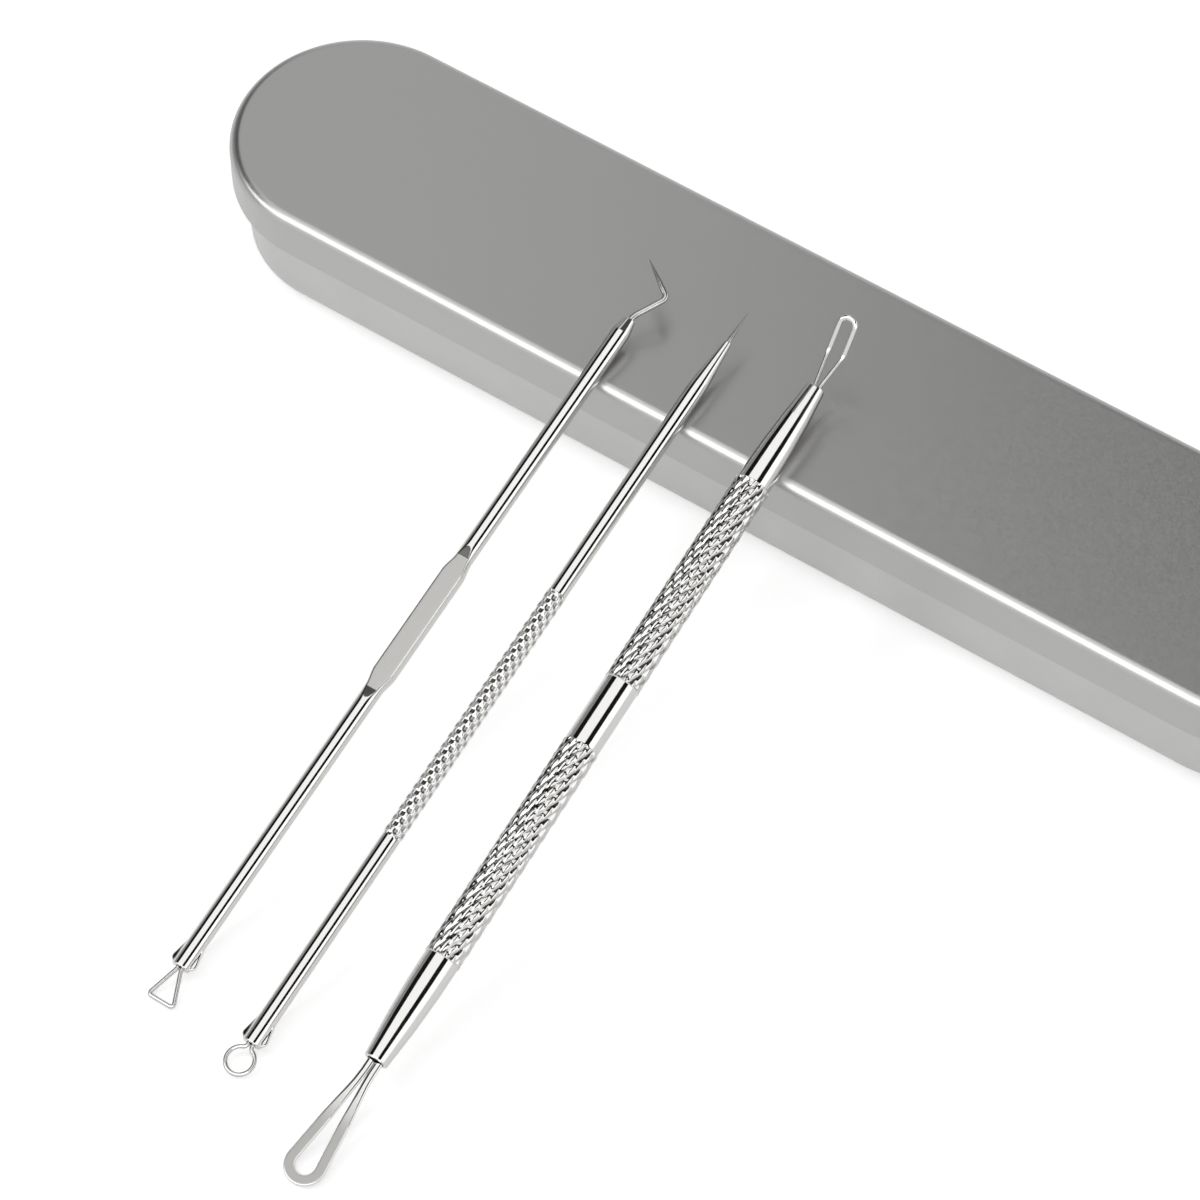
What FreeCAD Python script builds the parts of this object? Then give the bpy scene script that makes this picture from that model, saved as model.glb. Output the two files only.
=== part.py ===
import FreeCAD, Part
import math
import os
import Sketcher

# A set of three double-ended blackhead extractors that lean on the slip-lid tin they are kept in.
# Millimetres. X runs along the tin, Y across it and away from the tools' feet, Z is up.
# The origin is the middle of the tin's underside, on the table.
# Every tool is modelled along its own X axis, from the lower end of its handle to the upper one,
# and every tip along X as it leaves its handle, then both are set in place together.

Vector = FreeCAD.Vector
UP = Vector(0, 0, 1)

DRIVING = (
    # tin
    ("tin_length", 154.4),
    ("tin_width", 31.3),
    ("tin_height", 17.3),
    ("sheet_thickness", 0.35),
    ("lid_depth", 6.2),
    ("lid_edge_radius", 1.4),
    ("base_bottom_radius", 2.0),
    ("bead_diameter", 1.65),
    ("slip_clearance", 0.15),
    ("seat_clearance", 0.05),
    # where the tools lean
    ("lean_clearance", 0.1),
    ("floor_clearance", 0.03),
    # both slim tools
    ("rod_diameter", 2.25),
    ("edge_break", 0.12),
    ("fit_clearance", 0.03),
    ("tail_depth", 4.0),
    ("ear_length", 4.2),
    ("ear_width", 3.4),
    ("ear_crest", 0.7),
    ("ear_round", 0.5),
    ("ear_thickness", 0.7),
    ("loop_wire", 0.5),
    ("loop_wire_gap", 0.06),
    ("loop_neck", 0.3),
    # tool with the flat grip
    ("flat_tool_place", -18.2),
    ("flat_tool_overhang", 7.82),
    ("flat_tool_yaw", -0.13),
    ("flat_handle_length", 92.8),
    ("flat_tip_diameter", 1.4),
    ("flat_tip_taper", 2.0),
    ("grip_start", 37.2),
    ("grip_length", 21.8),
    ("grip_ramp", 1.5),
    ("grip_swell", 2.5),
    ("grip_thickness", 1.68),
    ("grip_swell_diameter", 2.94),
    ("triangle_length", 4.6),
    ("triangle_width", 3.95),
    ("triangle_skew", 0.34),
    ("triangle_corner", 0.35),
    ("hook_wire", 0.75),
    ("hook_root", 0.5),
    ("hook_leg", 4.66),
    ("hook_turn", 29.0),
    ("hook_root_bend", 3.0),
    ("hook_point_leg", 5.6),
    ("hook_point_turn", 54.3),
    ("hook_knee_bend", 0.8),
    ("hook_shank", 1.4),
    ("hook_point_diameter", 0.08),
    # tool with the knurled middle
    ("slim_tool_place", -6.05),
    ("slim_tool_overhang", 11.05),
    ("slim_tool_yaw", 0.25),
    ("slim_handle_length", 99.5),
    ("slim_knurl_start", 28.1),
    ("slim_knurl_length", 34.5),
    ("slim_knurl_diameter", 2.4),
    ("slim_tip_taper", 7.0),
    ("slim_tip_diameter", 0.9),
    ("ring_diameter", 3.8),
    ("ring_reach", 4.1),
    ("ring_neck_bend", 0.6),
    ("lancet_diameter", 0.55),
    ("lancet_length", 4.4),
    ("lancet_shank", 0.6),
    ("lancet_point_diameter", 0.06),
    # thick tool
    ("knurled_tool_place", 7.4),
    ("knurled_tool_overhang", 10.66),
    ("knurled_tool_yaw", 1.0),
    ("knurled_handle_length", 94.0),
    ("lower_cone_length", 13.5),
    ("upper_cone_length", 14.1),
    ("lower_nose_length", 7.5),
    ("lower_nose_diameter", 4.1),
    ("upper_nose_length", 6.8),
    ("upper_nose_diameter", 3.75),
    ("nose_bend", 60.0),
    ("band_length", 8.6),
    ("band_diameter", 4.2),
    ("knurl_diameter", 4.4),
    ("wide_tip_diameter", 2.9),
    ("narrow_tip_diameter", 2.3),
    ("wide_loop_length", 16.2),
    ("wide_loop_width", 4.95),
    ("wide_loop_band", 1.3),
    ("wide_loop_root", 1.9),
    ("wide_loop_crotch", 3.3),
    ("wide_loop_thickness", 0.6),
    ("wide_loop_turn", 0.9),
    ("narrow_loop_root", 1.2),
    ("narrow_loop_crotch", 1.4),
    ("narrow_loop_leg", 4.7),
    ("narrow_loop_hoop", 4.9),
    ("narrow_loop_width", 2.6),
    ("narrow_loop_band", 0.6),
    ("narrow_loop_thickness", 0.5),
    ("narrow_loop_bend", 11.0),
    ("narrow_loop_crease", 28.0),
    # how far a cut runs past what it cuts
    ("overrun", 0.5),
)

EAR_END_SHARE = 0.85      # half width of the crimp's end face, of the rod's radius
EAR_ROOT_SHARE = 0.80     # half width of the crimp where it fades into the rod, of the rod's radius
GRIP_FACES = 2
STEEPEST_LEAN = math.pi / 4
HALVINGS = 60             # steps of the search for a tool's lean
SAME_HEIGHT = 1e-6        # heights this close count as one


class Size:
    """A length or angle with its number and the expression that binds it to the sheet."""

    def __init__(self, value, text):
        self.value = value
        self.text = text

    def __add__(self, other):
        other = as_size(other)
        return Size(self.value + other.value, f"({self.text} + {other.text})")

    def __sub__(self, other):
        other = as_size(other)
        return Size(self.value - other.value, f"({self.text} - {other.text})")

    def __mul__(self, other):
        other = as_size(other)
        return Size(self.value * other.value, f"({self.text} * {other.text})")

    def __truediv__(self, other):
        other = as_size(other)
        return Size(self.value / other.value, f"({self.text} / {other.text})")

    def __neg__(self):
        return Size(-self.value, f"(0 - {self.text})")


def as_size(number):
    return number if isinstance(number, Size) else Size(float(number), repr(float(number)))


def cosine(angle):
    return Size(math.cos(math.radians(angle.value)), f"cos({angle.text} * 1 deg)")


def sine(angle):
    return Size(math.sin(math.radians(angle.value)), f"sin({angle.text} * 1 deg)")


def tangent(angle):
    return Size(math.tan(math.radians(angle.value)), f"tan({angle.text} * 1 deg)")


ZERO = as_size(0)


def fill_sheet(doc):
    """Writes the driving dimensions to the sheet and reads them back as sizes."""
    sheet = doc.addObject("Spreadsheet::Sheet", "Sizes")
    for row, (alias, value) in enumerate(DRIVING, start=1):
        sheet.set(f"A{row}", alias)
        sheet.set(f"B{row}", str(value))
        sheet.setAlias(f"B{row}", alias)
    doc.recompute()
    return {alias: Size(float(sheet.get(alias)), f"Sizes.{alias}") for alias, _ in DRIVING}


doc = FreeCAD.newDocument("extractor_set")
sizes = fill_sheet(doc)


def size(alias):
    return sizes[alias]


def new_body(label):
    body = doc.addObject("PartDesign::Body", label)
    body.Label = label
    return body


def origin_feature(body, role):
    return next(feature for feature in body.Origin.OriginFeatures if feature.Role == role)


def new_sketch(body, name, role="XY_Plane", lift=None):
    """A sketch on one of the body's own planes, lifted along that plane's normal."""
    sketch = body.newObject("Sketcher::SketchObject", name)
    sketch.AttachmentSupport = (origin_feature(body, role), [""])
    sketch.MapMode = "FlatFace"
    if lift is not None:
        sketch.AttachmentOffset = FreeCAD.Placement(Vector(0, 0, lift.value), FreeCAD.Rotation())
        sketch.setExpression("AttachmentOffset.Base.z", lift.text)
    return sketch


def tilt(sketch, axis, angle, base_x=ZERO, base_y=ZERO, base_z=ZERO):
    """Turns a sketch about an axis of its plane, at a point of that plane's own frame."""
    base = Vector(base_x.value, base_y.value, base_z.value)
    sketch.AttachmentOffset = FreeCAD.Placement(base, FreeCAD.Rotation(axis, angle.value))
    sketch.setExpression("AttachmentOffset.Rotation.Angle", angle.text)
    for name, amount in (("x", base_x), ("y", base_y), ("z", base_z)):
        sketch.setExpression(f"AttachmentOffset.Base.{name}", amount.text)


def bind(sketch, constraint, amount):
    index = sketch.addConstraint(constraint)
    sketch.setExpression(f"Constraints[{index}]", amount.text)


def pin(sketch, geometry, end, x, y):
    """Fixes one point of a sketch at x, y from its origin."""
    for kind, amount, axis in (("DistanceX", x, -2), ("DistanceY", y, -1)):
        if amount is ZERO:
            sketch.addConstraint(Sketcher.Constraint("PointOnObject", geometry, end, axis))
        else:
            bind(sketch, Sketcher.Constraint(kind, -1, 1, geometry, end, amount.value), amount)


def line(sketch, start, end):
    return sketch.addGeometry(Part.LineSegment(start, end), False)


def arc(sketch, centre, radius, start_angle, end_angle):
    circle = Part.Circle(centre, UP, radius)
    return sketch.addGeometry(Part.ArcOfCircle(circle, start_angle, end_angle), False)


def join(sketch, kind, first, first_end, second, second_end):
    sketch.addConstraint(Sketcher.Constraint(kind, first, first_end, second, second_end))


def set_radius(sketch, geometry, radius):
    bind(sketch, Sketcher.Constraint("Radius", geometry, radius.value), radius)


def heading(vector):
    return math.atan2(vector.y, vector.x)


class Corner:
    """A corner of an outline, sharp or rounded by a tangent arc."""

    def __init__(self, x, y, radius=None):
        self.x = x
        self.y = y
        self.radius = radius
        self.point = Vector(x.value, y.value, 0)
        self.entry = self.point
        self.leave = self.point

    def round_off(self, before, after):
        """Works out where the arc starts and ends, and on which side its centre is."""
        way_in = (self.point - before.point).normalize()
        way_out = (after.point - self.point).normalize()
        turn = way_in.getAngle(way_out)
        cut = self.radius.value * math.tan(turn / 2)
        self.entry = self.point - way_in * cut
        self.leave = self.point + way_out * cut
        self.left = way_in.cross(way_out).z > 0
        side = UP.cross(way_in) if self.left else way_in.cross(UP)
        self.centre = self.entry + side * self.radius.value


def trace(sketch, corners, closed=True):
    """Draws straight runs through the corners, with tangent arcs where a corner has a radius."""
    count = len(corners)
    for index, corner in enumerate(corners):
        if corner.radius:
            corner.round_off(corners[index - 1], corners[(index + 1) % count])
    runs = []
    for index in range(count if closed else count - 1):
        runs.append(line(sketch, corners[index].leave, corners[(index + 1) % count].entry))
    for index, corner in enumerate(corners):
        inner = closed or 0 < index < count - 1
        before = runs[index - 1] if inner else None
        after = runs[index] if inner else None
        if not inner:
            pin(sketch, *((runs[0], 1) if index == 0 else (runs[-1], 2)), corner.x, corner.y)
        elif corner.radius:
            round_corner(sketch, corner, before, after)
        else:
            join(sketch, "Coincident", before, 2, after, 1)
            pin(sketch, after, 1, corner.x, corner.y)


def round_corner(sketch, corner, before, after):
    begin, end = (corner.entry, corner.leave) if corner.left else (corner.leave, corner.entry)
    bend = arc(sketch, corner.centre, corner.radius.value,
               heading(begin - corner.centre), heading(end - corner.centre))
    join(sketch, "Tangent", before, 2, bend, 1 if corner.left else 2)
    join(sketch, "Tangent", bend, 2 if corner.left else 1, after, 1)
    set_radius(sketch, bend, corner.radius)
    mark = sketch.addGeometry(Part.Point(corner.point), True)
    pin(sketch, mark, 1, corner.x, corner.y)
    sketch.addConstraint(Sketcher.Constraint("PointOnObject", mark, 1, before))
    sketch.addConstraint(Sketcher.Constraint("PointOnObject", mark, 1, after))


def stadium(sketch, straight, radius):
    """Draws a straight-sided outline with half-round ends, centred on the origin."""
    half = straight / 2
    quarter = math.pi / 2
    right = arc(sketch, Vector(half.value, 0, 0), radius.value, -quarter, quarter)
    back = line(sketch, Vector(half.value, radius.value, 0), Vector(-half.value, radius.value, 0))
    left = arc(sketch, Vector(-half.value, 0, 0), radius.value, quarter, 3 * quarter)
    front = line(sketch, Vector(-half.value, -radius.value, 0), Vector(half.value, -radius.value, 0))
    for first, second in ((right, back), (back, left), (left, front), (front, right)):
        join(sketch, "Tangent", first, 2, second, 1)
    pin(sketch, right, 3, half, ZERO)
    pin(sketch, left, 3, -half, ZERO)
    set_radius(sketch, right, radius)


def looped_outline(sketch, side, centre, radius):
    """Draws a closed outline whose two sides, mirror images, run from a root round one arc.

    side lists the points of the upper side from the root outwards; the arc is tangent to its last run.
    """
    hub = Vector(centre.value, 0, 0)
    points = [Vector(x.value, y.value, 0) for x, y in side]
    spoke = points[-1] - hub
    swing = heading(spoke) - math.acos(radius.value / spoke.Length)
    touch = hub + Vector(math.cos(swing), math.sin(swing), 0) * radius.value
    chain = points + [touch]
    upper = [line(sketch, begin, end) for begin, end in zip(chain, chain[1:])]
    mirrored = [Vector(point.x, -point.y, 0) for point in reversed(chain)]
    lower = [line(sketch, begin, end) for begin, end in zip(mirrored, mirrored[1:])]
    bend = arc(sketch, hub, radius.value, -swing, swing)
    join(sketch, "Tangent", upper[-1], 2, bend, 2)
    join(sketch, "Tangent", bend, 1, lower[0], 1)
    pin(sketch, bend, 3, centre, ZERO)
    set_radius(sketch, bend, radius)
    for index, (x, y) in enumerate(side):
        pin(sketch, upper[index], 1, x, y)
        if index:
            join(sketch, "Coincident", upper[index - 1], 2, upper[index], 1)
            join(sketch, "Coincident", lower[-1 - index], 2, lower[-index], 1)
            pin(sketch, lower[-index], 1, x, -y)
    root_x, root_y = side[0]
    if root_y is ZERO:
        join(sketch, "Coincident", lower[-1], 2, upper[0], 1)
    else:
        pin(sketch, lower[-1], 2, root_x, -root_y)
        root = line(sketch, mirrored[-1], points[0])
        join(sketch, "Coincident", lower[-1], 2, root, 1)
        join(sketch, "Coincident", root, 2, upper[0], 1)


def ring_path(sketch, tail, offset, neck, radius, centre):
    """Draws one tail, its bend out, the ring, and the bend back into the second tail."""
    hub = Vector(centre.value, 0, 0)
    reach = radius.value + neck.value
    rise = offset.value + neck.value
    bend_x = centre.value - math.sqrt(reach ** 2 - rise ** 2)
    upper_hub = Vector(bend_x, rise, 0)
    lower_hub = Vector(bend_x, -rise, 0)
    quarter = math.pi / 2
    swing = heading(hub - upper_hub)
    first = line(sketch, Vector(tail.value, offset.value, 0), Vector(bend_x, offset.value, 0))
    bend_out = arc(sketch, upper_hub, neck.value, -quarter, swing)
    opening = heading(upper_hub - hub)
    ring = arc(sketch, hub, radius.value, -opening, opening)
    bend_back = arc(sketch, lower_hub, neck.value, -swing, quarter)
    last = line(sketch, Vector(bend_x, -offset.value, 0), Vector(tail.value, -offset.value, 0))
    join(sketch, "Tangent", first, 2, bend_out, 1)
    join(sketch, "Tangent", bend_out, 2, ring, 2)
    join(sketch, "Tangent", ring, 1, bend_back, 1)
    join(sketch, "Tangent", bend_back, 2, last, 1)
    for geometry in (first, last):
        sketch.addConstraint(Sketcher.Constraint("Horizontal", geometry))
    pin(sketch, first, 1, tail, offset)
    pin(sketch, last, 2, tail, -offset)
    pin(sketch, ring, 3, centre, ZERO)
    set_radius(sketch, ring, radius)
    set_radius(sketch, bend_out, neck)
    set_radius(sketch, bend_back, neck)


def spot(sketch, x, y, radius):
    """Draws one circle."""
    disc = sketch.addGeometry(Part.Circle(Vector(x.value, y.value, 0), UP, radius.value), False)
    pin(sketch, disc, 3, x, y)
    set_radius(sketch, disc, radius)


def pad(body, sketch, name, length, symmetric=False):
    feature = body.newObject("PartDesign::Pad", name)
    feature.Profile = sketch
    feature.setExpression("Length", length.text)
    feature.SideType = "Symmetric" if symmetric else "One side"
    doc.recompute()
    return feature


def pocket(body, sketch, name, length, symmetric=False, reverse=False):
    before = body.Shape.Volume
    feature = body.newObject("PartDesign::Pocket", name)
    feature.Profile = sketch
    feature.setExpression("Length", length.text)
    feature.SideType = "Symmetric" if symmetric else "One side"
    feature.Reversed = reverse
    doc.recompute()
    if body.Shape.Volume >= before:
        raise RuntimeError(f"{body.Label}: {name} cut nothing")
    return feature


def revolve(body, sketch, name):
    feature = body.newObject("PartDesign::Revolution", name)
    feature.Profile = sketch
    feature.ReferenceAxis = (sketch, ["H_Axis"])
    feature.Angle = 360
    doc.recompute()
    return feature


def sweep(body, path, profile, name):
    feature = body.newObject("PartDesign::AdditivePipe", name)
    feature.Profile = profile
    feature.Spine = path
    doc.recompute()
    return feature


def fillet(body, base, name, edges, radius):
    feature = body.newObject("PartDesign::Fillet", name)
    feature.Base = (base, edges)
    feature.setExpression("Radius", radius.text)
    doc.recompute()
    return feature


def hollow(body, base, name, open_face):
    """Turns a solid into a sheet shell that is open at one face."""
    feature = body.newObject("PartDesign::Thickness", name)
    feature.Base = (base, [open_face])
    feature.setExpression("Value", size("sheet_thickness").text)
    feature.Reversed = True
    doc.recompute()
    return feature


def edges_at(feature, height):
    """Names of a feature's edges that lie flat at one height."""
    names = []
    for index, edge in enumerate(feature.Shape.Edges, start=1):
        box = edge.BoundBox
        flat = math.isclose(box.ZMin, box.ZMax, abs_tol=SAME_HEIGHT)
        if flat and math.isclose(box.ZMin, height.value, abs_tol=SAME_HEIGHT):
            names.append(f"Edge{index}")
    return names


def face_at(feature, height):
    """Name of a feature's flat level face at one height."""
    for index, face in enumerate(feature.Shape.Faces, start=1):
        box = face.BoundBox
        flat = math.isclose(box.ZMin, box.ZMax, abs_tol=SAME_HEIGHT)
        if flat and math.isclose(box.ZMin, height.value, abs_tol=SAME_HEIGHT):
            return f"Face{index}"
    raise RuntimeError(f"{feature.Label}: no level face at {height.value}")


# The tin: one straight length and two half-round ends, shared by the lid, the base and its bead.
tin_straight = size("tin_length") - size("tin_width")
lid_radius = size("tin_width") / 2
bead_radius = lid_radius - size("sheet_thickness") - size("slip_clearance")
base_radius = bead_radius - size("bead_diameter") + size("sheet_thickness")
bead_line_radius = bead_radius - size("bead_diameter") / 2
rim_top = size("tin_height") - size("sheet_thickness") - size("seat_clearance")
bead_height = rim_top - size("bead_diameter") / 2


def make_tin_base():
    body = new_body("tin_base")
    outline = new_sketch(body, "base_outline")
    stadium(outline, tin_straight, base_radius)
    block = pad(body, outline, "base_block", bead_height)
    rounded = fillet(body, block, "base_bottom_edge", edges_at(block, ZERO), size("base_bottom_radius"))
    hollow(body, rounded, "base_shell", face_at(rounded, bead_height))
    path = new_sketch(body, "bead_path", lift=bead_height)
    stadium(path, tin_straight, bead_line_radius)
    section = new_sketch(body, "bead_section", "YZ_Plane", lift=tin_straight / 2)
    spot(section, -bead_line_radius, bead_height, size("bead_diameter") / 2)
    sweep(body, path, section, "rolled_bead")
    return body


def make_tin_lid():
    body = new_body("tin_lid")
    skirt_edge = size("tin_height") - size("lid_depth")
    outline = new_sketch(body, "lid_outline", lift=skirt_edge)
    stadium(outline, tin_straight, lid_radius)
    block = pad(body, outline, "lid_block", size("lid_depth"))
    top_edges = edges_at(block, size("tin_height"))
    rounded = fillet(body, block, "lid_top_edge", top_edges, size("lid_edge_radius"))
    hollow(body, rounded, "lid_shell", face_at(rounded, skirt_edge))
    return body


# Bores that the tips' tails sit in, sized by what goes into them.
rod_radius = size("rod_diameter") / 2
tail_offset = (size("loop_wire") + size("loop_wire_gap")) / 2
tail_pair_bore = tail_offset + size("loop_wire") / 2 + size("fit_clearance")
hook_bore = size("hook_wire") / 2 + size("fit_clearance")
lancet_bore = size("lancet_diameter") / 2 + size("fit_clearance")
bore_depth = size("tail_depth") + size("fit_clearance")


def strip_bore(width, thickness):
    """Radius of the round bore that takes a flat tail, corner to corner."""
    number = math.hypot(width.value, thickness.value) / 2
    text = f"(sqrt({width.text} ^ 2 + {thickness.text} ^ 2) / 2)"
    return Size(number, text) + size("fit_clearance")


wide_bore = strip_bore(size("wide_loop_root"), size("wide_loop_thickness"))
narrow_bore = strip_bore(size("narrow_loop_root"), size("narrow_loop_thickness"))


def crimp_lower_end(body):
    """Adds the two flat ears of a crimp to the rod's lower end and bores it for a loop's tails."""
    ears = new_sketch(body, "crimp_outline")
    end = rod_radius * EAR_END_SHARE
    root = rod_radius * EAR_ROOT_SHARE
    half = size("ear_width") / 2
    trace(ears, [
        Corner(ZERO, -end),
        Corner(size("ear_crest"), -half, size("ear_round")),
        Corner(size("ear_length"), -root),
        Corner(size("ear_length"), root),
        Corner(size("ear_crest"), half, size("ear_round")),
        Corner(ZERO, end),
    ])
    pad(body, ears, "crimp_ears", size("ear_thickness"), symmetric=True)
    bore = new_sketch(body, "loop_bore_outline", "YZ_Plane")
    spot(bore, ZERO, ZERO, tail_pair_bore)
    pocket(body, bore, "loop_bore", bore_depth, reverse=True)


# The outer line of each handle: station along the axis, radius there and, where it is rounded, its bend.
grip_stop = size("grip_start") + size("grip_length")
grip_flat_start = size("grip_start") + size("grip_ramp")
grip_flat_stop = grip_stop - size("grip_ramp")
grip_swell = size("grip_swell_diameter") / 2
flat_line = [
    (ZERO, rod_radius - size("edge_break")),
    (size("edge_break"), rod_radius),
    (grip_flat_start, rod_radius),
    (grip_flat_start + size("grip_swell"), grip_swell),
    (grip_flat_stop - size("grip_swell"), grip_swell),
    (grip_flat_stop, rod_radius),
    (size("flat_handle_length") - size("flat_tip_taper"), rod_radius),
    (size("flat_handle_length"), size("flat_tip_diameter") / 2),
]

slim_knurl = size("slim_knurl_diameter") / 2
slim_step = slim_knurl - rod_radius
slim_knurl_stop = size("slim_knurl_start") + size("slim_knurl_length")
slim_line = [
    (ZERO, rod_radius - size("edge_break")),
    (size("edge_break"), rod_radius),
    (size("slim_knurl_start"), rod_radius),
    (size("slim_knurl_start") + slim_step, slim_knurl),
    (slim_knurl_stop - slim_step, slim_knurl),
    (slim_knurl_stop, rod_radius),
    (size("slim_handle_length") - size("slim_tip_taper"), rod_radius),
    (size("slim_handle_length"), size("slim_tip_diameter") / 2),
]

knurl = size("knurl_diameter") / 2
band = size("band_diameter") / 2
knurl_step = knurl - band
band_start = (size("knurled_handle_length") - size("band_length")) / 2
band_stop = band_start + size("band_length")
lower_cone = size("lower_cone_length")
upper_cone = size("knurled_handle_length") - size("upper_cone_length")
upper_nose = size("knurled_handle_length") - size("upper_nose_length")
knurled_line = [
    (ZERO, size("wide_tip_diameter") / 2),
    (size("lower_nose_length"), size("lower_nose_diameter") / 2, size("nose_bend")),
    (lower_cone, band),
    (lower_cone + knurl_step, knurl),
    (band_start - knurl_step, knurl),
    (band_start, band),
    (band_stop, band),
    (band_stop + knurl_step, knurl),
    (upper_cone - knurl_step, knurl),
    (upper_cone, band),
    (upper_nose, size("upper_nose_diameter") / 2, size("nose_bend")),
    (size("knurled_handle_length"), size("narrow_tip_diameter") / 2),
]


def turn_handle(body, outer_line, upper_bore, lower_bore=None):
    """Turns a handle from its outer line, bored at the upper end and, where given, at the lower one."""
    length = outer_line[-1][0]
    corners = [Corner(*entry) for entry in outer_line]
    corners += [
        Corner(length, upper_bore),
        Corner(length - bore_depth, upper_bore),
        Corner(length - bore_depth, ZERO),
    ]
    if lower_bore:
        corners += [Corner(bore_depth, ZERO), Corner(bore_depth, lower_bore), Corner(ZERO, lower_bore)]
    else:
        corners += [Corner(ZERO, ZERO)]
    outline = new_sketch(body, "handle_outline")
    trace(outline, corners)
    revolve(body, outline, "turned_handle")


def make_flat_handle():
    body = new_body("flat_handle")
    turn_handle(body, flat_line, hook_bore)
    flat = size("grip_thickness") / 2
    top = grip_swell + size("overrun")
    run = size("grip_ramp") * (top - flat) / (rod_radius - flat)
    face = new_sketch(body, "grip_face_outline", "XZ_Plane")
    trace(face, [
        Corner(grip_flat_start, flat),
        Corner(grip_flat_stop, flat),
        Corner(grip_flat_stop + run, top),
        Corner(grip_flat_start - run, top),
    ])
    pressed = pocket(body, face, "grip_face", top * 2, symmetric=True)
    faces = body.newObject("PartDesign::PolarPattern", "grip_faces")
    faces.Originals = [pressed]
    faces.Axis = (origin_feature(body, "X_Axis"), [""])
    faces.Angle = 360
    faces.Occurrences = GRIP_FACES
    body.Tip = faces
    doc.recompute()
    crimp_lower_end(body)
    return body


def make_slim_handle():
    body = new_body("slim_handle")
    turn_handle(body, slim_line, lancet_bore)
    crimp_lower_end(body)
    return body


def make_knurled_handle():
    body = new_body("knurled_handle")
    turn_handle(body, knurled_line, narrow_bore, wide_bore)
    return body


def make_triangle_loop():
    body = new_body("triangle_loop")
    wire = size("loop_wire")
    far = size("triangle_length") - wire / 2
    half = (size("triangle_width") - wire) / 2
    skew = size("triangle_skew")
    bend = size("triangle_corner")
    path = new_sketch(body, "triangle_path")
    trace(path, [
        Corner(-size("tail_depth"), tail_offset),
        Corner(size("loop_neck"), tail_offset, bend),
        Corner(far, half + skew, bend),
        Corner(far, skew - half, bend),
        Corner(size("loop_neck"), -tail_offset, bend),
        Corner(-size("tail_depth"), -tail_offset),
    ], closed=False)
    section = new_sketch(body, "wire_section", "YZ_Plane", lift=-size("tail_depth"))
    spot(section, tail_offset, ZERO, wire / 2)
    sweep(body, path, section, "bent_wire")
    return body


def make_round_loop():
    body = new_body("round_loop")
    wire = size("loop_wire")
    radius = (size("ring_diameter") - wire) / 2
    centre = size("ring_reach") - size("ring_diameter") / 2
    path = new_sketch(body, "ring_path")
    ring_path(path, -size("tail_depth"), tail_offset, size("ring_neck_bend"), radius, centre)
    section = new_sketch(body, "wire_section", "YZ_Plane", lift=-size("tail_depth"))
    spot(section, tail_offset, ZERO, wire / 2)
    sweep(body, path, section, "bent_wire")
    return body


def make_hook_needle():
    body = new_body("hook_needle")
    turn = size("hook_turn")
    point_turn = size("hook_point_turn")
    knee_x = size("hook_root") + size("hook_leg") * cosine(turn)
    knee_y = -(size("hook_leg") * sine(turn))
    end_x = knee_x + size("hook_shank") * cosine(point_turn)
    end_y = knee_y + size("hook_shank") * sine(point_turn)
    path = new_sketch(body, "hook_path")
    trace(path, [
        Corner(-size("tail_depth"), ZERO),
        Corner(size("hook_root"), ZERO, size("hook_root_bend")),
        Corner(knee_x, knee_y, size("hook_knee_bend")),
        Corner(end_x, end_y),
    ], closed=False)
    section = new_sketch(body, "wire_section", "YZ_Plane", lift=-size("tail_depth"))
    spot(section, ZERO, ZERO, size("hook_wire") / 2)
    sweep(body, path, section, "bent_wire")
    point = new_sketch(body, "point_outline")
    tilt(point, UP, point_turn, end_x, end_y)
    reach = size("hook_point_leg") - size("hook_shank")
    trace(point, [
        Corner(ZERO, ZERO),
        Corner(ZERO, size("hook_wire") / 2),
        Corner(reach, size("hook_point_diameter") / 2),
        Corner(reach, ZERO),
    ])
    revolve(body, point, "ground_point")
    return body


def make_lancet_needle():
    body = new_body("lancet_needle")
    radius = size("lancet_diameter") / 2
    outline = new_sketch(body, "needle_outline")
    trace(outline, [
        Corner(-size("tail_depth"), ZERO),
        Corner(-size("tail_depth"), radius),
        Corner(size("lancet_shank"), radius),
        Corner(size("lancet_length"), size("lancet_point_diameter") / 2),
        Corner(size("lancet_length"), ZERO),
    ])
    revolve(body, outline, "ground_needle")
    return body


def add_tail(body, width, thickness, reach):
    """Adds the flat tail of a pressed loop, from the depth of its bore to just past its mouth."""
    half = width / 2
    outline = new_sketch(body, "tail_outline")
    trace(outline, [
        Corner(-size("tail_depth"), -half),
        Corner(reach, -half),
        Corner(reach, half),
        Corner(-size("tail_depth"), half),
    ])
    pad(body, outline, "tail", thickness, symmetric=True)


def make_wide_loop():
    body = new_body("wide_loop")
    outer = size("wide_loop_width") / 2
    centre = size("wide_loop_length") - outer
    add_tail(body, size("wide_loop_root"), size("wide_loop_thickness"), size("loop_neck"))
    loop = new_sketch(body, "loop_outline")
    tilt(loop, -UP, size("wide_loop_turn"))
    looped_outline(loop, [(size("loop_neck") / 2, size("wide_loop_root") / 2)], centre, outer)
    looped_outline(loop, [(size("wide_loop_crotch"), ZERO)], centre, outer - size("wide_loop_band"))
    pad(body, loop, "pressed_loop", size("wide_loop_thickness"), symmetric=True)
    return body


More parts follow.
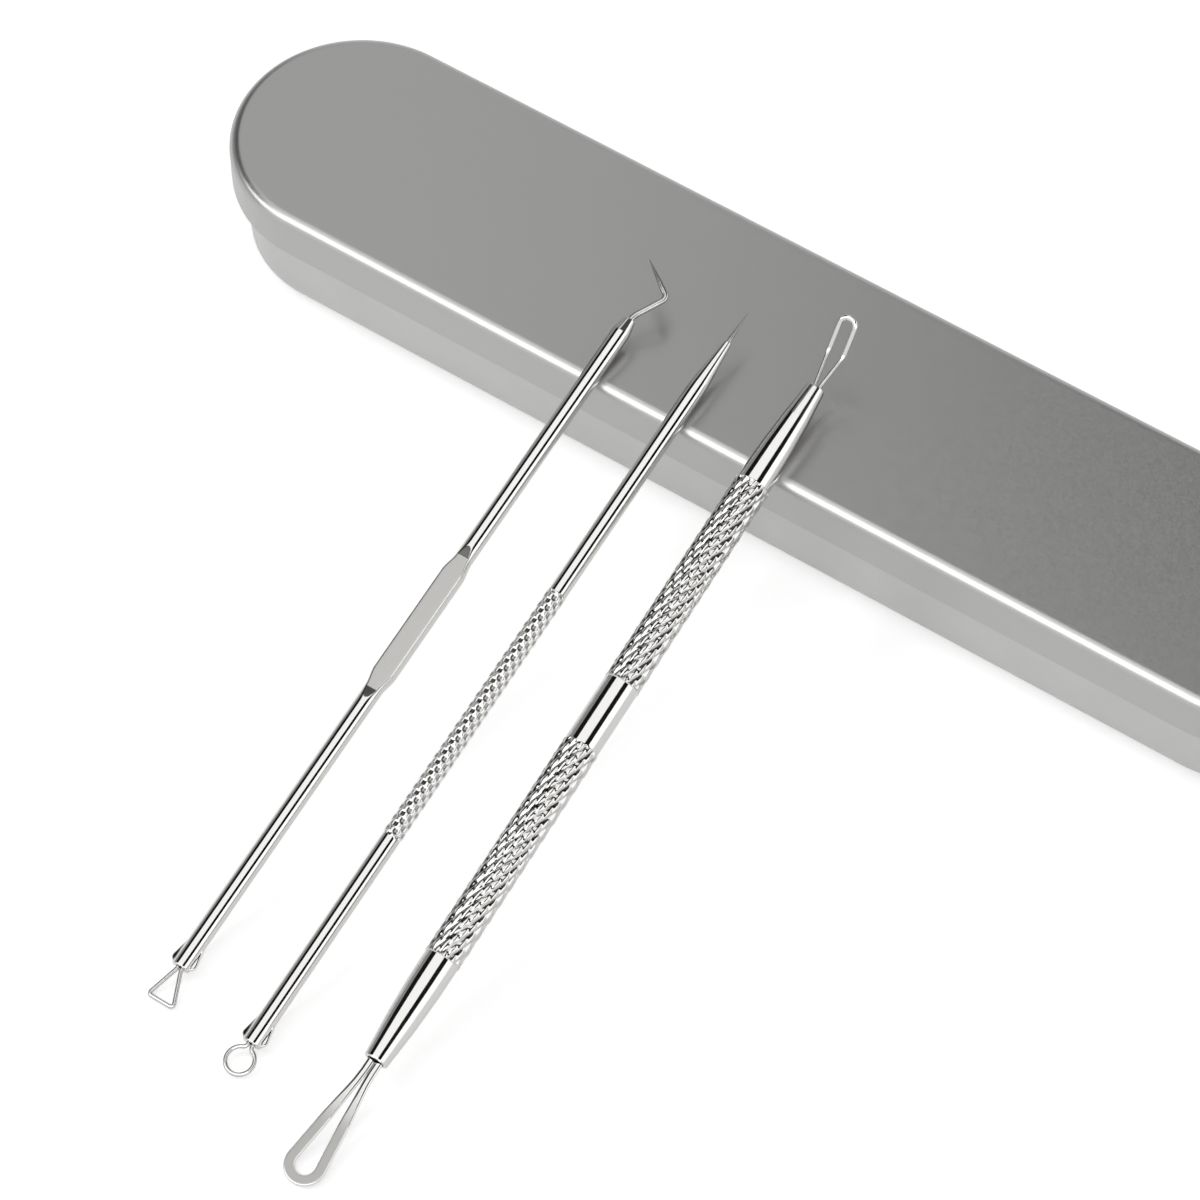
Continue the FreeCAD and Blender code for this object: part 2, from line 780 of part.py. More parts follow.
def make_narrow_loop():
    """A loop bent up twice: where it leaves the handle, and where its legs become the hoop."""
    body = new_body("narrow_loop")
    thickness = size("narrow_loop_thickness")
    outer = size("narrow_loop_width") / 2
    inner = outer - size("narrow_loop_band")
    root = size("narrow_loop_root") / 2
    mitre = thickness / 2 * tangent(size("narrow_loop_crease") / 2)
    leg = size("narrow_loop_leg")
    bend = size("narrow_loop_bend")
    upward = Vector(0, -1, 0)
    add_tail(body, size("narrow_loop_root"), thickness, size("loop_neck"))
    legs = new_sketch(body, "legs_outline")
    tilt(legs, upward, bend)
    trace(legs, [
        Corner(size("loop_neck") / 2, root),
        Corner(size("loop_neck") / 2, -root),
        Corner(leg + mitre, -outer),
        Corner(leg + mitre, -inner),
        Corner(size("narrow_loop_crotch"), ZERO),
        Corner(leg + mitre, inner),
        Corner(leg + mitre, outer),
    ])
    pad(body, legs, "pressed_legs", thickness, symmetric=True)
    crease = bend + size("narrow_loop_crease")
    crease_x = leg * cosine(bend)
    crease_z = leg * sine(bend)
    centre = size("narrow_loop_hoop") - outer
    hoop = new_sketch(body, "hoop_outline")
    tilt(hoop, upward, crease, crease_x, ZERO, crease_z)
    looped_outline(hoop, [(-mitre, outer)], centre, outer)
    pad(body, hoop, "pressed_hoop", thickness, symmetric=True)
    opening = new_sketch(body, "hoop_opening_outline")
    tilt(opening, upward, crease, crease_x, ZERO, crease_z)
    looped_outline(opening, [(-mitre - size("fit_clearance"), inner)], centre, inner)
    pocket(body, opening, "hoop_opening", thickness + size("overrun"), symmetric=True)
    return body


def lean(place, overhang, yaw, outer_line, foot_length, foot_thickness):
    """Placement of a tool that stands on the table and leans on the lid's front edge.

    place is where its handle's lower end is along the tin, and overhang how far the upper end passes
    the lid's edge. It stands on its loop's end or its handle's lower edge, whichever is lower.
    """
    edge = size("lid_edge_radius").value
    profile = [(station.value, radius.value) for station, radius, *_ in outer_line]
    feet = [(-foot_length.value, -foot_thickness.value / 2)]
    feet += [(station, -radius) for station, radius in profile]
    contact = profile[-1][0] - overhang.value
    room = edge + size("lean_clearance").value
    deepest = room + max(radius for _, radius in profile)
    level = size("tin_height").value - edge

    def spare(depth):
        return gap_below(profile, contact, -depth) - room

    def axis_height(angle):
        drop = max(-x * math.sin(angle) - z * math.cos(angle) for x, z in feet)
        return drop + size("floor_clearance").value

    def rise(angle):
        return axis_height(angle) + contact * math.sin(angle) - depth * math.cos(angle) - level

    depth = root_between(spare, 0.0, deepest)
    angle = root_between(rise, 0.0, STEEPEST_LEAN)
    across = contact * math.cos(angle) + depth * math.sin(angle)
    reach = lid_radius.value - edge + across * math.cos(math.radians(yaw.value))
    turn = FreeCAD.Rotation(90 + yaw.value, -math.degrees(angle), 0)
    return FreeCAD.Placement(Vector(place.value, -reach, axis_height(angle)), turn)


def gap_below(profile, x, z):
    """Distance from a handle's underside down to the point x, z; negative once the point is inside."""
    gaps = []
    for (x0, radius0), (x1, radius1) in zip(profile, profile[1:]):
        run, climb = x1 - x0, radius0 - radius1
        share = ((x - x0) * run + (z + radius0) * climb) / (run ** 2 + climb ** 2)
        share = min(max(share, 0.0), 1.0)
        near_x, near_z = x0 + share * run, share * climb - radius0
        gaps.append(math.copysign(math.hypot(x - near_x, z - near_z), near_z - z))
    return min(gaps)


def root_between(function, low, high):
    """The place where a rising function passes zero, found by halving."""
    for _ in range(HALVINGS):
        middle = (low + high) / 2
        if function(middle) < 0:
            low = middle
        else:
            high = middle
    return (low + high) / 2


def assemble(tool, handle, length, lower, upper):
    """Sets a handle and its two tips in place along the tool's axis."""
    handle.Placement = tool
    lower.Placement = tool.multiply(FreeCAD.Placement(Vector(), FreeCAD.Rotation(UP, 180)))
    upper.Placement = tool.multiply(FreeCAD.Placement(Vector(length.value, 0, 0), FreeCAD.Rotation()))
    return [handle, lower, upper]


def make_flat_tool():
    tool = lean(size("flat_tool_place"), size("flat_tool_overhang"), size("flat_tool_yaw"),
                flat_line, size("triangle_length"), size("loop_wire"))
    return assemble(tool, make_flat_handle(), size("flat_handle_length"),
                    make_triangle_loop(), make_hook_needle())


def make_slim_tool():
    tool = lean(size("slim_tool_place"), size("slim_tool_overhang"), size("slim_tool_yaw"),
                slim_line, size("ring_reach"), size("loop_wire"))
    return assemble(tool, make_slim_handle(), size("slim_handle_length"),
                    make_round_loop(), make_lancet_needle())


def make_knurled_tool():
    tool = lean(size("knurled_tool_place"), size("knurled_tool_overhang"), size("knurled_tool_yaw"),
                knurled_line, size("wide_loop_length"), size("wide_loop_thickness"))
    return assemble(tool, make_knurled_handle(), size("knurled_handle_length"),
                    make_wide_loop(), make_narrow_loop())


def check(bodies):
    doc.recompute()
    for item in doc.Objects:
        if "Invalid" in item.State or "Error" in item.State:
            raise RuntimeError(f"{item.Label} failed: {item.State}")
    for body in bodies:
        shape = body.Shape
        if shape.isNull() or not shape.isValid() or len(shape.Solids) != 1:
            raise RuntimeError(f"{body.Label} is not one sound solid")


def export(bodies):
    os.makedirs("parts", exist_ok=True)
    for body in bodies:
        body.Shape.exportStep(f"parts/{body.Label}.step")
        box = body.Shape.optimalBoundingBox()
        print(f"{body.Label:16s} volume {body.Shape.Volume:9.2f} mm3"
              f"  x {box.XMin:8.2f} {box.XMax:8.2f}  y {box.YMin:8.2f} {box.YMax:8.2f}"
              f"  z {box.ZMin:6.2f} {box.ZMax:6.2f}")


pieces = [make_tin_base(), make_tin_lid()]
pieces += make_flat_tool() + make_slim_tool() + make_knurled_tool()
check(pieces)
export(pieces)
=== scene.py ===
# %% [markdown]
# # Three blackhead extractors and the tin they are kept in
# The set is a slip-lid tin of satin tinplate with three double-ended tools of polished stainless
# steel leaning on its front edge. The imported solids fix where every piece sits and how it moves.
# This lesson gives each of them its finished surface: rolled and rounded sheet, pressed knurls,
# crimped ears and bent wire, modelled in millimetres and set into the same frame.

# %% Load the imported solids
import math

import bmesh
import bpy
from mathutils import Matrix, Vector


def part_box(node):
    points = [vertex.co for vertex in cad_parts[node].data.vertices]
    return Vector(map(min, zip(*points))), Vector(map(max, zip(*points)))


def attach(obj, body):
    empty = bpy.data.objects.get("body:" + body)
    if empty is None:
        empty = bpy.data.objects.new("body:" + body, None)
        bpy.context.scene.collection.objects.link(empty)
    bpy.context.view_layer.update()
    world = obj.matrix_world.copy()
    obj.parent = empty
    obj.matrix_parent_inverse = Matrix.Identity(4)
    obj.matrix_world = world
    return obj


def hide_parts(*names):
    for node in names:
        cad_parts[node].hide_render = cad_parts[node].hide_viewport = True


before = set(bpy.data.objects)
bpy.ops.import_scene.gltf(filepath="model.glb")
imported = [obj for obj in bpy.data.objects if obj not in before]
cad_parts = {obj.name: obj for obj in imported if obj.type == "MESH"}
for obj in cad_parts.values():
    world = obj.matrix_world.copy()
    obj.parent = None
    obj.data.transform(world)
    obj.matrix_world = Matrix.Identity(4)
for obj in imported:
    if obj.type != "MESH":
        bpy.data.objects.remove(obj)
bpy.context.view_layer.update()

MM = 0.001

# %% [markdown]
# ## The camera
# The picture looks down on the set from the right, through a long lens from over half a metre, so
# the tools hardly taper with distance. A camera could be framed by eye. Here its place, its aim and
# its lens come from fitting the tin's round left end, its long edges and the tools' ends, and they
# stay as fitted.

# %% Set the camera
CAMERA_PLACE = Vector((0.1731, -0.3038, 0.4883))
CAMERA_AIM = Vector((-0.00672, -0.03057, 0.0))
LENS = 150.8
SENSOR = 36.0

camera_data = bpy.data.cameras.new("long_lens")
camera_data.lens = LENS
camera_data.sensor_width = SENSOR
camera_data.clip_start = 10 * MM
camera = bpy.data.objects.new("long_lens", camera_data)
camera.location = CAMERA_PLACE
camera.rotation_euler = (CAMERA_AIM - CAMERA_PLACE).to_track_quat("-Z", "Y").to_euler()
bpy.context.scene.collection.objects.link(camera)
bpy.context.scene.camera = camera
print("camera is", round((CAMERA_AIM - CAMERA_PLACE).length, 3), "m from its aim")

# %% [markdown]
# ## Paths with round bends
# Almost every piece here starts as a line with bends in it: the outline of a turned handle, the
# section of the tin's sheet, the run of a bent wire. A curve object could hold such lines. A list of
# places, each a matrix that faces along the line, serves all three, because a section can be carried
# from one place to the next. Long straight runs get a place close to each end, which keeps the
# smooth shading of a bend from spreading along the flat beside it.

# %% Walk along a path
BEND_STEP = math.radians(7)
HOLD = 0.15
TOUCHING = 1e-4


def walk(seat, moves, run_step=None):
    """Places along moves of (length, 0) straight ahead and (radius, turn) round a bend to the left."""
    places = [seat]
    for size, turn in moves:
        if turn:
            count = math.ceil(abs(turn) / BEND_STEP) if size else 1
            side = Matrix.Translation((0, math.copysign(size, turn), 0))
            steps = [side @ Matrix.Rotation(turn / count, 4, "Z") @ side.inverted()] * count
        elif size < TOUCHING:
            steps = []
        elif run_step:
            count = math.ceil(size / run_step)
            steps = [Matrix.Translation((size / count, 0, 0))] * count
        else:
            parts = [HOLD, size - 2 * HOLD, HOLD] if size > 4 * HOLD else [size]
            steps = [Matrix.Translation((part, 0, 0)) for part in parts]
        for step in steps:
            places.append(places[-1] @ step)
    return places


def trace(corners, run_step=None):
    """Places along a line through corners of (x, y) or, where it bends, (x, y, bend radius)."""
    spots = [Vector(corner[:2]) for corner in corners]
    ways = [after - before for before, after in zip(spots, spots[1:])]
    moves = []
    used = 0.0
    for corner, way_in, way_out in zip(corners[1:], ways, ways[1:]):
        radius = corner[2] if len(corner) > 2 else 0.0
        turn = math.atan2(way_in.cross(way_out), way_in.dot(way_out))
        cut = radius * math.tan(abs(turn) / 2)
        moves += [(way_in.length - used - cut, 0), (radius, turn)]
        used = cut
    moves.append((ways[-1].length - used, 0))
    start = Matrix.Rotation(math.atan2(ways[0].y, ways[0].x), 4, "Z")
    start.translation = (*spots[0], 0)
    return walk(start, moves, run_step)


print("a quarter bend has", len(walk(Matrix(), [(1, math.pi / 2)])) - 1, "steps")

# %% [markdown]
# ## From a bmesh to a piece
# Spins and extrusions leave doubled vertices at seams and poles, and their faces can point either
# way, so every shape is merged first and then has its normals recalculated. The finished piece
# takes the place of its solid in the picture and rides on the same body, so it moves with it.

# %% Finish a piece
CREASE = math.radians(32)
pieces = {"tinplate": [], "polished_steel": []}


def chain(bm, spots):
    """Joins spots by edges."""
    verts = [bm.verts.new(spot) for spot in spots]
    return [bm.edges.new(pair) for pair in zip(verts, verts[1:])]


def only(geometry, kind):
    return [item for item in geometry if isinstance(item, kind)]


def clean(bm):
    """Merges seams and poles, then turns the faces outwards."""
    bmesh.ops.remove_doubles(bm, verts=bm.verts, dist=TOUCHING)
    bmesh.ops.dissolve_degenerate(bm, edges=bm.edges, dist=TOUCHING)
    bmesh.ops.recalc_face_normals(bm, faces=bm.faces)
    return bm


def finish(bm, name, node, body, slot, frame_in_mm=Matrix()):
    """Sets a shape modelled in millimetres into the frame, in place of its solid."""
    bmesh.ops.transform(bm, matrix=Matrix.Scale(MM, 4) @ frame_in_mm, verts=bm.verts)
    mesh = bpy.data.meshes.new(name)
    bm.to_mesh(mesh)
    bm.free()
    mesh.shade_smooth()
    mesh.set_sharp_from_angle(angle=CREASE)
    piece = bpy.data.objects.new(name, mesh)
    bpy.context.scene.collection.objects.link(piece)
    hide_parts(node)
    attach(piece, body)
    pieces[slot].append(piece)
    print(name, "has", len(mesh.polygons), "faces")


# %% [markdown]
# ## The tin
# The lid and the base are deep-drawn from thin sheet: a flat panel, a rounded edge and a wall that
# runs round two half-round ends. A box with bevels would do at a distance. Sweeping the sheet's real
# section round the outline gives the lid its hem, the base its rolled bead, and both their thin wall.

# %% Measure the tin
lid_low, lid_high = (corner / MM for corner in map(Vector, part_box("tin_lid")))
base_high = Vector(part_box("tin_base")[1]) / MM
SHEET = 0.35
lid_radius = lid_high.y
tin_straight = 2 * (lid_high.x - lid_high.y)
bead_reach = base_high.y
print("lid", round(2 * lid_high.x, 1), "by", round(2 * lid_high.y, 1), "mm, straight for",
      round(tin_straight, 1))

# %% Sweep a section round the tin
END_STEPS = 56


def sweep_round(places):
    """Carries a section, x outwards and y up, round the tin's two half-round ends and straight sides."""
    bm = bmesh.new()
    half = tin_straight / 2
    edges = chain(bm, [(half, -place.translation.x, place.translation.y) for place in places])
    for side in (1, -1):
        verts = {vert for edge in edges for vert in edge.verts}
        turned = bmesh.ops.spin(bm, geom=list(verts) + edges, cent=(side * half, 0, 0), axis=(0, 0, 1),
                                angle=math.pi, steps=END_STEPS)
        last = only(turned["geom_last"], bmesh.types.BMEdge)
        pulled = bmesh.ops.extrude_edge_only(bm, edges=last)["geom"]
        verts = only(pulled, bmesh.types.BMVert)
        bmesh.ops.translate(bm, verts=verts, vec=(-side * tin_straight, 0, 0))
        edges = [edge for edge in only(pulled, bmesh.types.BMEdge) if set(edge.verts) <= set(verts)]
    return clean(bm)


print("each round end has", END_STEPS, "steps")

# %% Draw the lid
LID_EDGE = 1.4
HEM = 0.12
lid_inside = lid_radius - SHEET
lid_section = trace([
    (0, lid_high.z),
    (lid_radius, lid_high.z, LID_EDGE),
    (lid_radius, lid_low.z, HEM),
    (lid_inside, lid_low.z, HEM),
    (lid_inside, lid_high.z - SHEET, LID_EDGE - SHEET),
    (0, lid_high.z - SHEET),
])
lid = sweep_round(lid_section)
# Painted shade: every vertex of the lid is marked, so the material gives the whole lid a greyer colour
# than the base.
painted_lid_shade_layer = lid.verts.layers.float.new("painted_lid_shade")
for vert in lid.verts:
    vert[painted_lid_shade_layer] = 1.0
finish(lid, "drawn_lid", "tin_lid", "tin_lid", "tinplate")

# %% Draw the base and its rolled bead
BASE_EDGE = 2.0
BEAD = 1.65
bead_radius = BEAD / 2
wall_inside = bead_reach - BEAD
wall_outside = wall_inside + SHEET
bead_height = base_high.z - bead_radius
bead_lean = math.acos((bead_radius - SHEET) / bead_radius)
bead_foot = bead_height - bead_radius * math.sin(bead_lean)
quarter = math.pi / 2
base_section = walk(Matrix(), [
    (wall_outside - BASE_EDGE, 0),
    (BASE_EDGE, quarter),
    (bead_foot - BASE_EDGE, 0),
    (0, bead_lean - math.pi),
    (bead_radius, math.tau - bead_lean),
    (bead_height - BASE_EDGE, 0),
    (BASE_EDGE - SHEET, -quarter),
    (wall_inside - BASE_EDGE + SHEET, 0),
])
finish(sweep_round(base_section), "drawn_base", "tin_base", "tin_base", "tinplate")

# %% [markdown]
# ## Where the tools lie
# Each tool is straight and leans on the lid, so it is easiest to model along its own X axis and to
# set it in place afterwards. The two end faces of its packed handle say where that axis runs. Its Z
# points up from the table and its Y to the left, as seen from the tool's lower end.

# %% Find the tools' axes
END_FACE = 0.05
AXIS_ROUNDS = 4
UP = Vector((0, 0, 1))


def middle(points):
    return sum(points, Vector()) / len(points)


def tool_frame(node):
    """The frame of a tool in millimetres, at its handle's lower end, and the handle's length."""
    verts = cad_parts[node].data.vertices
    spots = {tuple(round(value / MM, 4) for value in vert.co) for vert in verts}
    points = [Vector(spot) for spot in spots]
    axis = Vector((0, 1, 0))
    for _ in range(AXIS_ROUNDS):
        heights = [axis.dot(point) for point in points]
        lower = middle([point for point in points if axis.dot(point) < min(heights) + END_FACE])
        upper = middle([point for point in points if axis.dot(point) > max(heights) - END_FACE])
        axis = (upper - lower).normalized()
    left = UP.cross(axis).normalized()
    place = Matrix((axis, left, axis.cross(left))).transposed().to_4x4()
    place.translation = lower
    print(node, "is", round((upper - lower).length, 2), "mm long and leans",
          round(math.degrees(math.asin(axis.z)), 2), "degrees")
    return place, (upper - lower).length


flat_tool, flat_length = tool_frame("flat_handle")
slim_tool, slim_length = tool_frame("slim_handle")
knurled_tool, knurled_length = tool_frame("knurled_handle")


def lower_end(tool):
    return tool @ Matrix.Rotation(math.pi, 4, "Z")


def upper_end(tool, length):
    return tool @ Matrix.Translation((length, 0, 0))


# %% [markdown]
# ## Turned handles
# The handles are turned rods with a blind bore in each end that holds a tip. A cylinder would give
# the rod but not its shoulders, so the whole outline, bores included, is spun about the axis. Where
# the rod is pressed afterwards, into flats, ears or a knurl, the outline is first divided finely.

# %% Turn a rod
ROD = 2.25
EDGE_BREAK = 0.12
BORE_DEPTH = 4.03
rod_radius = ROD / 2


def lathe(corners, segments, fine=()):
    """Spins an outline of (station, radius) about X. fine lists (start, stop, cuts) to divide it by."""
    bm = bmesh.new()
    chain(bm, [place.translation for place in trace(corners)])
    for start, stop, cuts in fine:
        inside = [edge for edge in bm.edges
                  if all(start - TOUCHING < vert.co.x < stop + TOUCHING for vert in edge.verts)
                  and edge.calc_length() > (stop - start) / 2]
        bmesh.ops.subdivide_edges(bm, edges=inside, cuts=cuts)
    bmesh.ops.spin(bm, geom=bm.verts[:] + bm.edges[:], cent=(0, 0, 0), axis=(1, 0, 0),
                   angle=math.tau, steps=segments, use_merge=True)
    return clean(bm)


def bored(outline, lower_bore, upper_bore):
    """Closes a handle's outer line with the blind bores at its two ends."""
    stop = outline[-1][0]
    lower = [(BORE_DEPTH, 0), (BORE_DEPTH, lower_bore), (0, lower_bore)]
    upper = [(stop, upper_bore), (stop - BORE_DEPTH, upper_bore), (stop - BORE_DEPTH, 0)]
    return lower + outline + upper


def reshape(bm, start, stop, new_radius):
    """Gives the outer skin between two stations the radius worked out for each station and angle."""
    for vert in bm.verts:
        x, y, z = vert.co
        radius = math.hypot(y, z)
        if start <= x <= stop and radius > rod_radius / 2:
            share = new_radius(x, math.atan2(z, y), radius) / radius
            vert.co = (x, y * share, z * share)


def between(value, low, high):
    return min(max(value, low), high)


def ease(share):
    share = between(share, 0, 1)
    return share * share * (3 - 2 * share)


def blend(first, second, power):
    """A rounded larger of two radii where power is positive, and a rounded smaller where negative."""
    return (first ** power + second ** power) ** (1 / power)


print("rods are", ROD, "mm thick and bored", BORE_DEPTH, "mm deep")

# %% [markdown]
# ## Crimped ears
# The two slim tools hold their wire loops by a crimp: the end of the rod is squeezed, and the metal
# stands out as two thin ears that fade back into the rod. They could be separate plates, but they
# are the rod's own metal, so here the rod's skin is drawn out along the ears until it reaches their
# outline. Its columns of vertices are gathered towards the ears first, where the shape needs them.

# %% Crimp a rod's lower end
EAR_LENGTH = 4.2
EAR_WIDTH = 3.4
EAR_CREST = 0.7
EAR_ROUND = 0.5
EAR_THICKNESS = 0.62
EAR_SLOPE = math.tan(math.radians(13))
EAR_END_SHARE = 0.85
EAR_ROOT_SHARE = 0.80
# How tightly the ears' edges are rounded: powers for blend, and the larger the tighter.
EAR_RIM, EAR_ROOT = -10, 40
EAR_CUTS = 60
GATHER = 0.6
ear_line = [place.translation for place in trace([
    (0, rod_radius * EAR_END_SHARE),
    (EAR_CREST, EAR_WIDTH / 2, EAR_ROUND),
    (EAR_LENGTH, rod_radius * EAR_ROOT_SHARE),
])]


def ear_reach(x):
    """Half the width of the ears at a station."""
    for before, after in zip(ear_line, ear_line[1:]):
        if x <= after.x:
            return before.y + (after.y - before.y) * (x - before.x) / (after.x - before.x)
    return ear_line[-1].y


def ear_skin(x, angle, radius):
    """The radius of the rod or of the wedge-shaped ears on its left and right, whichever is larger."""
    beside, above = abs(math.cos(angle)), abs(math.sin(angle))
    across = ear_reach(x) / max(beside, TOUCHING)
    through = (EAR_THICKNESS / 2 + EAR_SLOPE * rod_radius) / (above + EAR_SLOPE * beside)
    return blend(radius, blend(across, through, EAR_RIM), EAR_ROOT)


def crimp(bm):
    """Draws the two ears out of the rod's skin."""
    for vert in bm.verts:
        x, y, z = vert.co
        if 0 <= x < EAR_LENGTH:
            angle = math.atan2(z, y)
            turn = -GATHER / 2 * math.sin(2 * angle) * ease(EAR_LENGTH - x)
            vert.co = Matrix.Rotation(turn, 3, "X") @ vert.co
    reshape(bm, 0, EAR_LENGTH, ear_skin)


print("ears stand", round(max(spot.y for spot in ear_line) - rod_radius, 2), "mm out of the rod")

# %% [markdown]
# ## The tool with the flat grip
# Two flats are pressed into the middle of this rod, above and below, with a short ramp at each end.
# The metal they push aside makes the rod swell to both sides. Cutting the flats with planes would
# leave long slivers, so each skin vertex is drawn in to the flat that it faces. The press leaves the
# flats dull. The polish misses the ramps, which are a little rougher and carry a painted dark
# reflection. Both are noted on their vertices for the material.

# %% Press the flat grip
GRIP_START = 37.2
GRIP_LENGTH = 21.8
GRIP_RAMP = 1.5
GRIP_SWELL = 2.5
GRIP_THICKNESS = 1.68
GRIP_WIDTH = 2.94
GRIP_CUTS = 210
GRIP_EDGE = -30
GRIP_DULL = 0.75
# Painted dark reflection on the grip's ramps.
RAMP_PAINTED_DARK = 0.9
ON_FLAT = 0.02
FLAT_TIP = 1.4
FLAT_TAPER = 2.0
FLAT_SHOULDER = 1.0
HOOK_WIRE = 0.75
LOOP_WIRE = 0.5
LOOP_GAP = 0.06
FIT = 0.03
ROD_SEGMENTS = 96
tail_offset = (LOOP_WIRE + LOOP_GAP) / 2
tail_bore = tail_offset + LOOP_WIRE / 2 + FIT
flat_start = GRIP_START + GRIP_RAMP
flat_stop = GRIP_START + GRIP_LENGTH - GRIP_RAMP
pressed_zone = (GRIP_START - GRIP_RAMP, GRIP_START + GRIP_LENGTH + GRIP_RAMP)
crimped_end = [(0, rod_radius, EDGE_BREAK), (EAR_LENGTH, rod_radius)]

flat_rod = lathe(bored(crimped_end + [
    (pressed_zone[0], rod_radius),
    (pressed_zone[1], rod_radius),
    (flat_length - FLAT_TAPER, rod_radius, FLAT_SHOULDER),
    (flat_length, FLAT_TIP / 2, EDGE_BREAK),
], tail_bore, HOOK_WIRE / 2 + FIT), ROD_SEGMENTS, [
    (0, EAR_LENGTH, EAR_CUTS),
    (*pressed_zone, GRIP_CUTS),
])


def flat_height(x):
    """Height of the pressed flat above the axis, or of the ramp that leads up from it."""
    short = max(flat_start - x, x - flat_stop, 0)
    return GRIP_THICKNESS / 2 + (ROD - GRIP_THICKNESS) / 2 * short / GRIP_RAMP


def grip_skin(x, angle, radius):
    """The radius of the swollen rod or of the flat pressed into it, whichever is smaller."""
    swell = ease((x - flat_start) / GRIP_SWELL) * ease((flat_stop - x) / GRIP_SWELL)
    swollen = radius + (GRIP_WIDTH / 2 - radius) * swell
    return blend(swollen, flat_height(x) / max(abs(math.sin(angle)), TOUCHING), GRIP_EDGE)


reshape(flat_rod, *pressed_zone, grip_skin)
# The ramps are marked for a painted dark reflection, and the flats for a duller finish.
dull_layer = flat_rod.verts.layers.float.new("dull")
painted_shade_layer = flat_rod.verts.layers.float.new("groove")
for vert in flat_rod.verts:
    x, y, z = vert.co
    pressed = GRIP_START < x < GRIP_START + GRIP_LENGTH and abs(z) > flat_height(x) - ON_FLAT
    if pressed and flat_start < x < flat_stop:
        vert[dull_layer] = GRIP_DULL
    elif pressed:
        vert[painted_shade_layer] = RAMP_PAINTED_DARK
crimp(flat_rod)
finish(flat_rod, "flat_grip_rod", "flat_handle", "flat_tool", "polished_steel", flat_tool)

# %% [markdown]
# ## Knurls
# A knurl is two families of helical grooves that cross and leave diamond pads. It could be bump in
# the material, but its scalloped edge shows against the white table, so it is real relief. The rings
# and segments are counted so that both families of grooves run exactly through vertices. How deep a
# place lies is noted on its vertex. The grooves are rougher, because the polish reaches the pads but
# not the grooves, and they carry painted shade that darkens them.

# %% Press a knurl
def press_knurl(bm, start, stop, rows, around, roll, depth, painted_shade, frost, groove):
    """Sinks both families of grooves. groove takes how far a place is from the middle of the nearest
    groove of each family, from 0 to 1 mid pad, and gives the share of the depth. painted_shade says how
    dark the grooves are painted, as painted shade, and frost how matt the pads are, from 0 to 1."""
    # Painted shade: the share noted here darkens the grooves in the steel material.
    painted_shade_layer = bm.verts.layers.float.get("groove") or bm.verts.layers.float.new("groove")
    frost_layer = bm.verts.layers.float.get("frost") or bm.verts.layers.float.new("frost")
    for vert in bm.verts:
        x, y, z = vert.co
        radius = math.hypot(y, z)
        if start <= x <= stop and radius > rod_radius / 2:
            row = (x - start) / (stop - start) * rows
            turn = (math.atan2(z, y) - roll) / math.tau * around
            sunk = groove(*(2 * abs(phase - round(phase)) for phase in (row + turn, row - turn)))
            share = 1 - sunk * depth / radius
            vert.co = (x, y * share, z * share)
            vert[painted_shade_layer] = sunk * painted_shade
            vert[frost_layer] = (1 - sunk) * frost


KNURL_STEPS = 10
print("each pad of the thick knurl has", KNURL_STEPS, "rings and as many segments")

# %% [markdown]
# ## The tool with the knurled middle
# The middle of this rod carries a shallow, coarse knurl: frosted pads, thin lines between them and a
# small flat pit at every crossing. The pits keep the polish of the rod, so the row of them that faces
# a dark card shows as a row of black dots. The lines and pits also carry painted shade that darkens
# them. A sharp groove would reflect in all directions at once, so the pits get a level floor.

# %% Turn the slim rod
SLIM_KNURL_START = 28.1
SLIM_KNURL_LENGTH = 34.5
SLIM_KNURL = 2.4
SLIM_ROWS = 24
SLIM_AROUND = 6
SLIM_STEPS = 16
SLIM_DEPTH = 0.12
SLIM_ROLL = 5 * math.tau / (SLIM_AROUND * SLIM_STEPS)
# Painted shade darkens the lines and pits; frost pales and roughens the pads.
SLIM_PAINTED_SHADE, SLIM_FROST = 0.5, 0.8
SLIM_LINE_SHARE, SLIM_LINE_POWER = 0.3, 4
SLIM_PIT_SPREAD = 2.0
SLIM_TAPER = 7.0
SLIM_SHOULDER = 12.0
SLIM_TIP = 0.9
LANCET = 0.55
slim_step = (SLIM_KNURL - ROD) / 2
slim_stop = SLIM_KNURL_START + SLIM_KNURL_LENGTH

slim_rod = lathe(bored(crimped_end + [
    (SLIM_KNURL_START, rod_radius),
    (SLIM_KNURL_START + slim_step, SLIM_KNURL / 2),
    (slim_stop - slim_step, SLIM_KNURL / 2),
    (slim_stop, rod_radius),
    (slim_length - SLIM_TAPER, rod_radius, SLIM_SHOULDER),
    (slim_length, SLIM_TIP / 2, EDGE_BREAK),
], tail_bore, LANCET / 2 + FIT), SLIM_AROUND * SLIM_STEPS, [
    (0, EAR_LENGTH, EAR_CUTS),
    (SLIM_KNURL_START + slim_step, slim_stop - slim_step, SLIM_ROWS * SLIM_STEPS - 1),
])


def flat_pits(one, two):
    """Thin lines, with a pit where two of them cross that reaches the full depth before its middle."""
    lines = max(1 - one, 1 - two) ** SLIM_LINE_POWER
    pits = (1 - one) * (1 - two)
    return min(SLIM_LINE_SHARE * lines + SLIM_PIT_SPREAD * pits, 1)


press_knurl(slim_rod, SLIM_KNURL_START + slim_step, slim_stop - slim_step, SLIM_ROWS, SLIM_AROUND,
            SLIM_ROLL, SLIM_DEPTH, SLIM_PAINTED_SHADE, SLIM_FROST, flat_pits)
crimp(slim_rod)
finish(slim_rod, "knurled_slim_rod", "slim_handle", "slim_tool", "polished_steel", slim_tool)
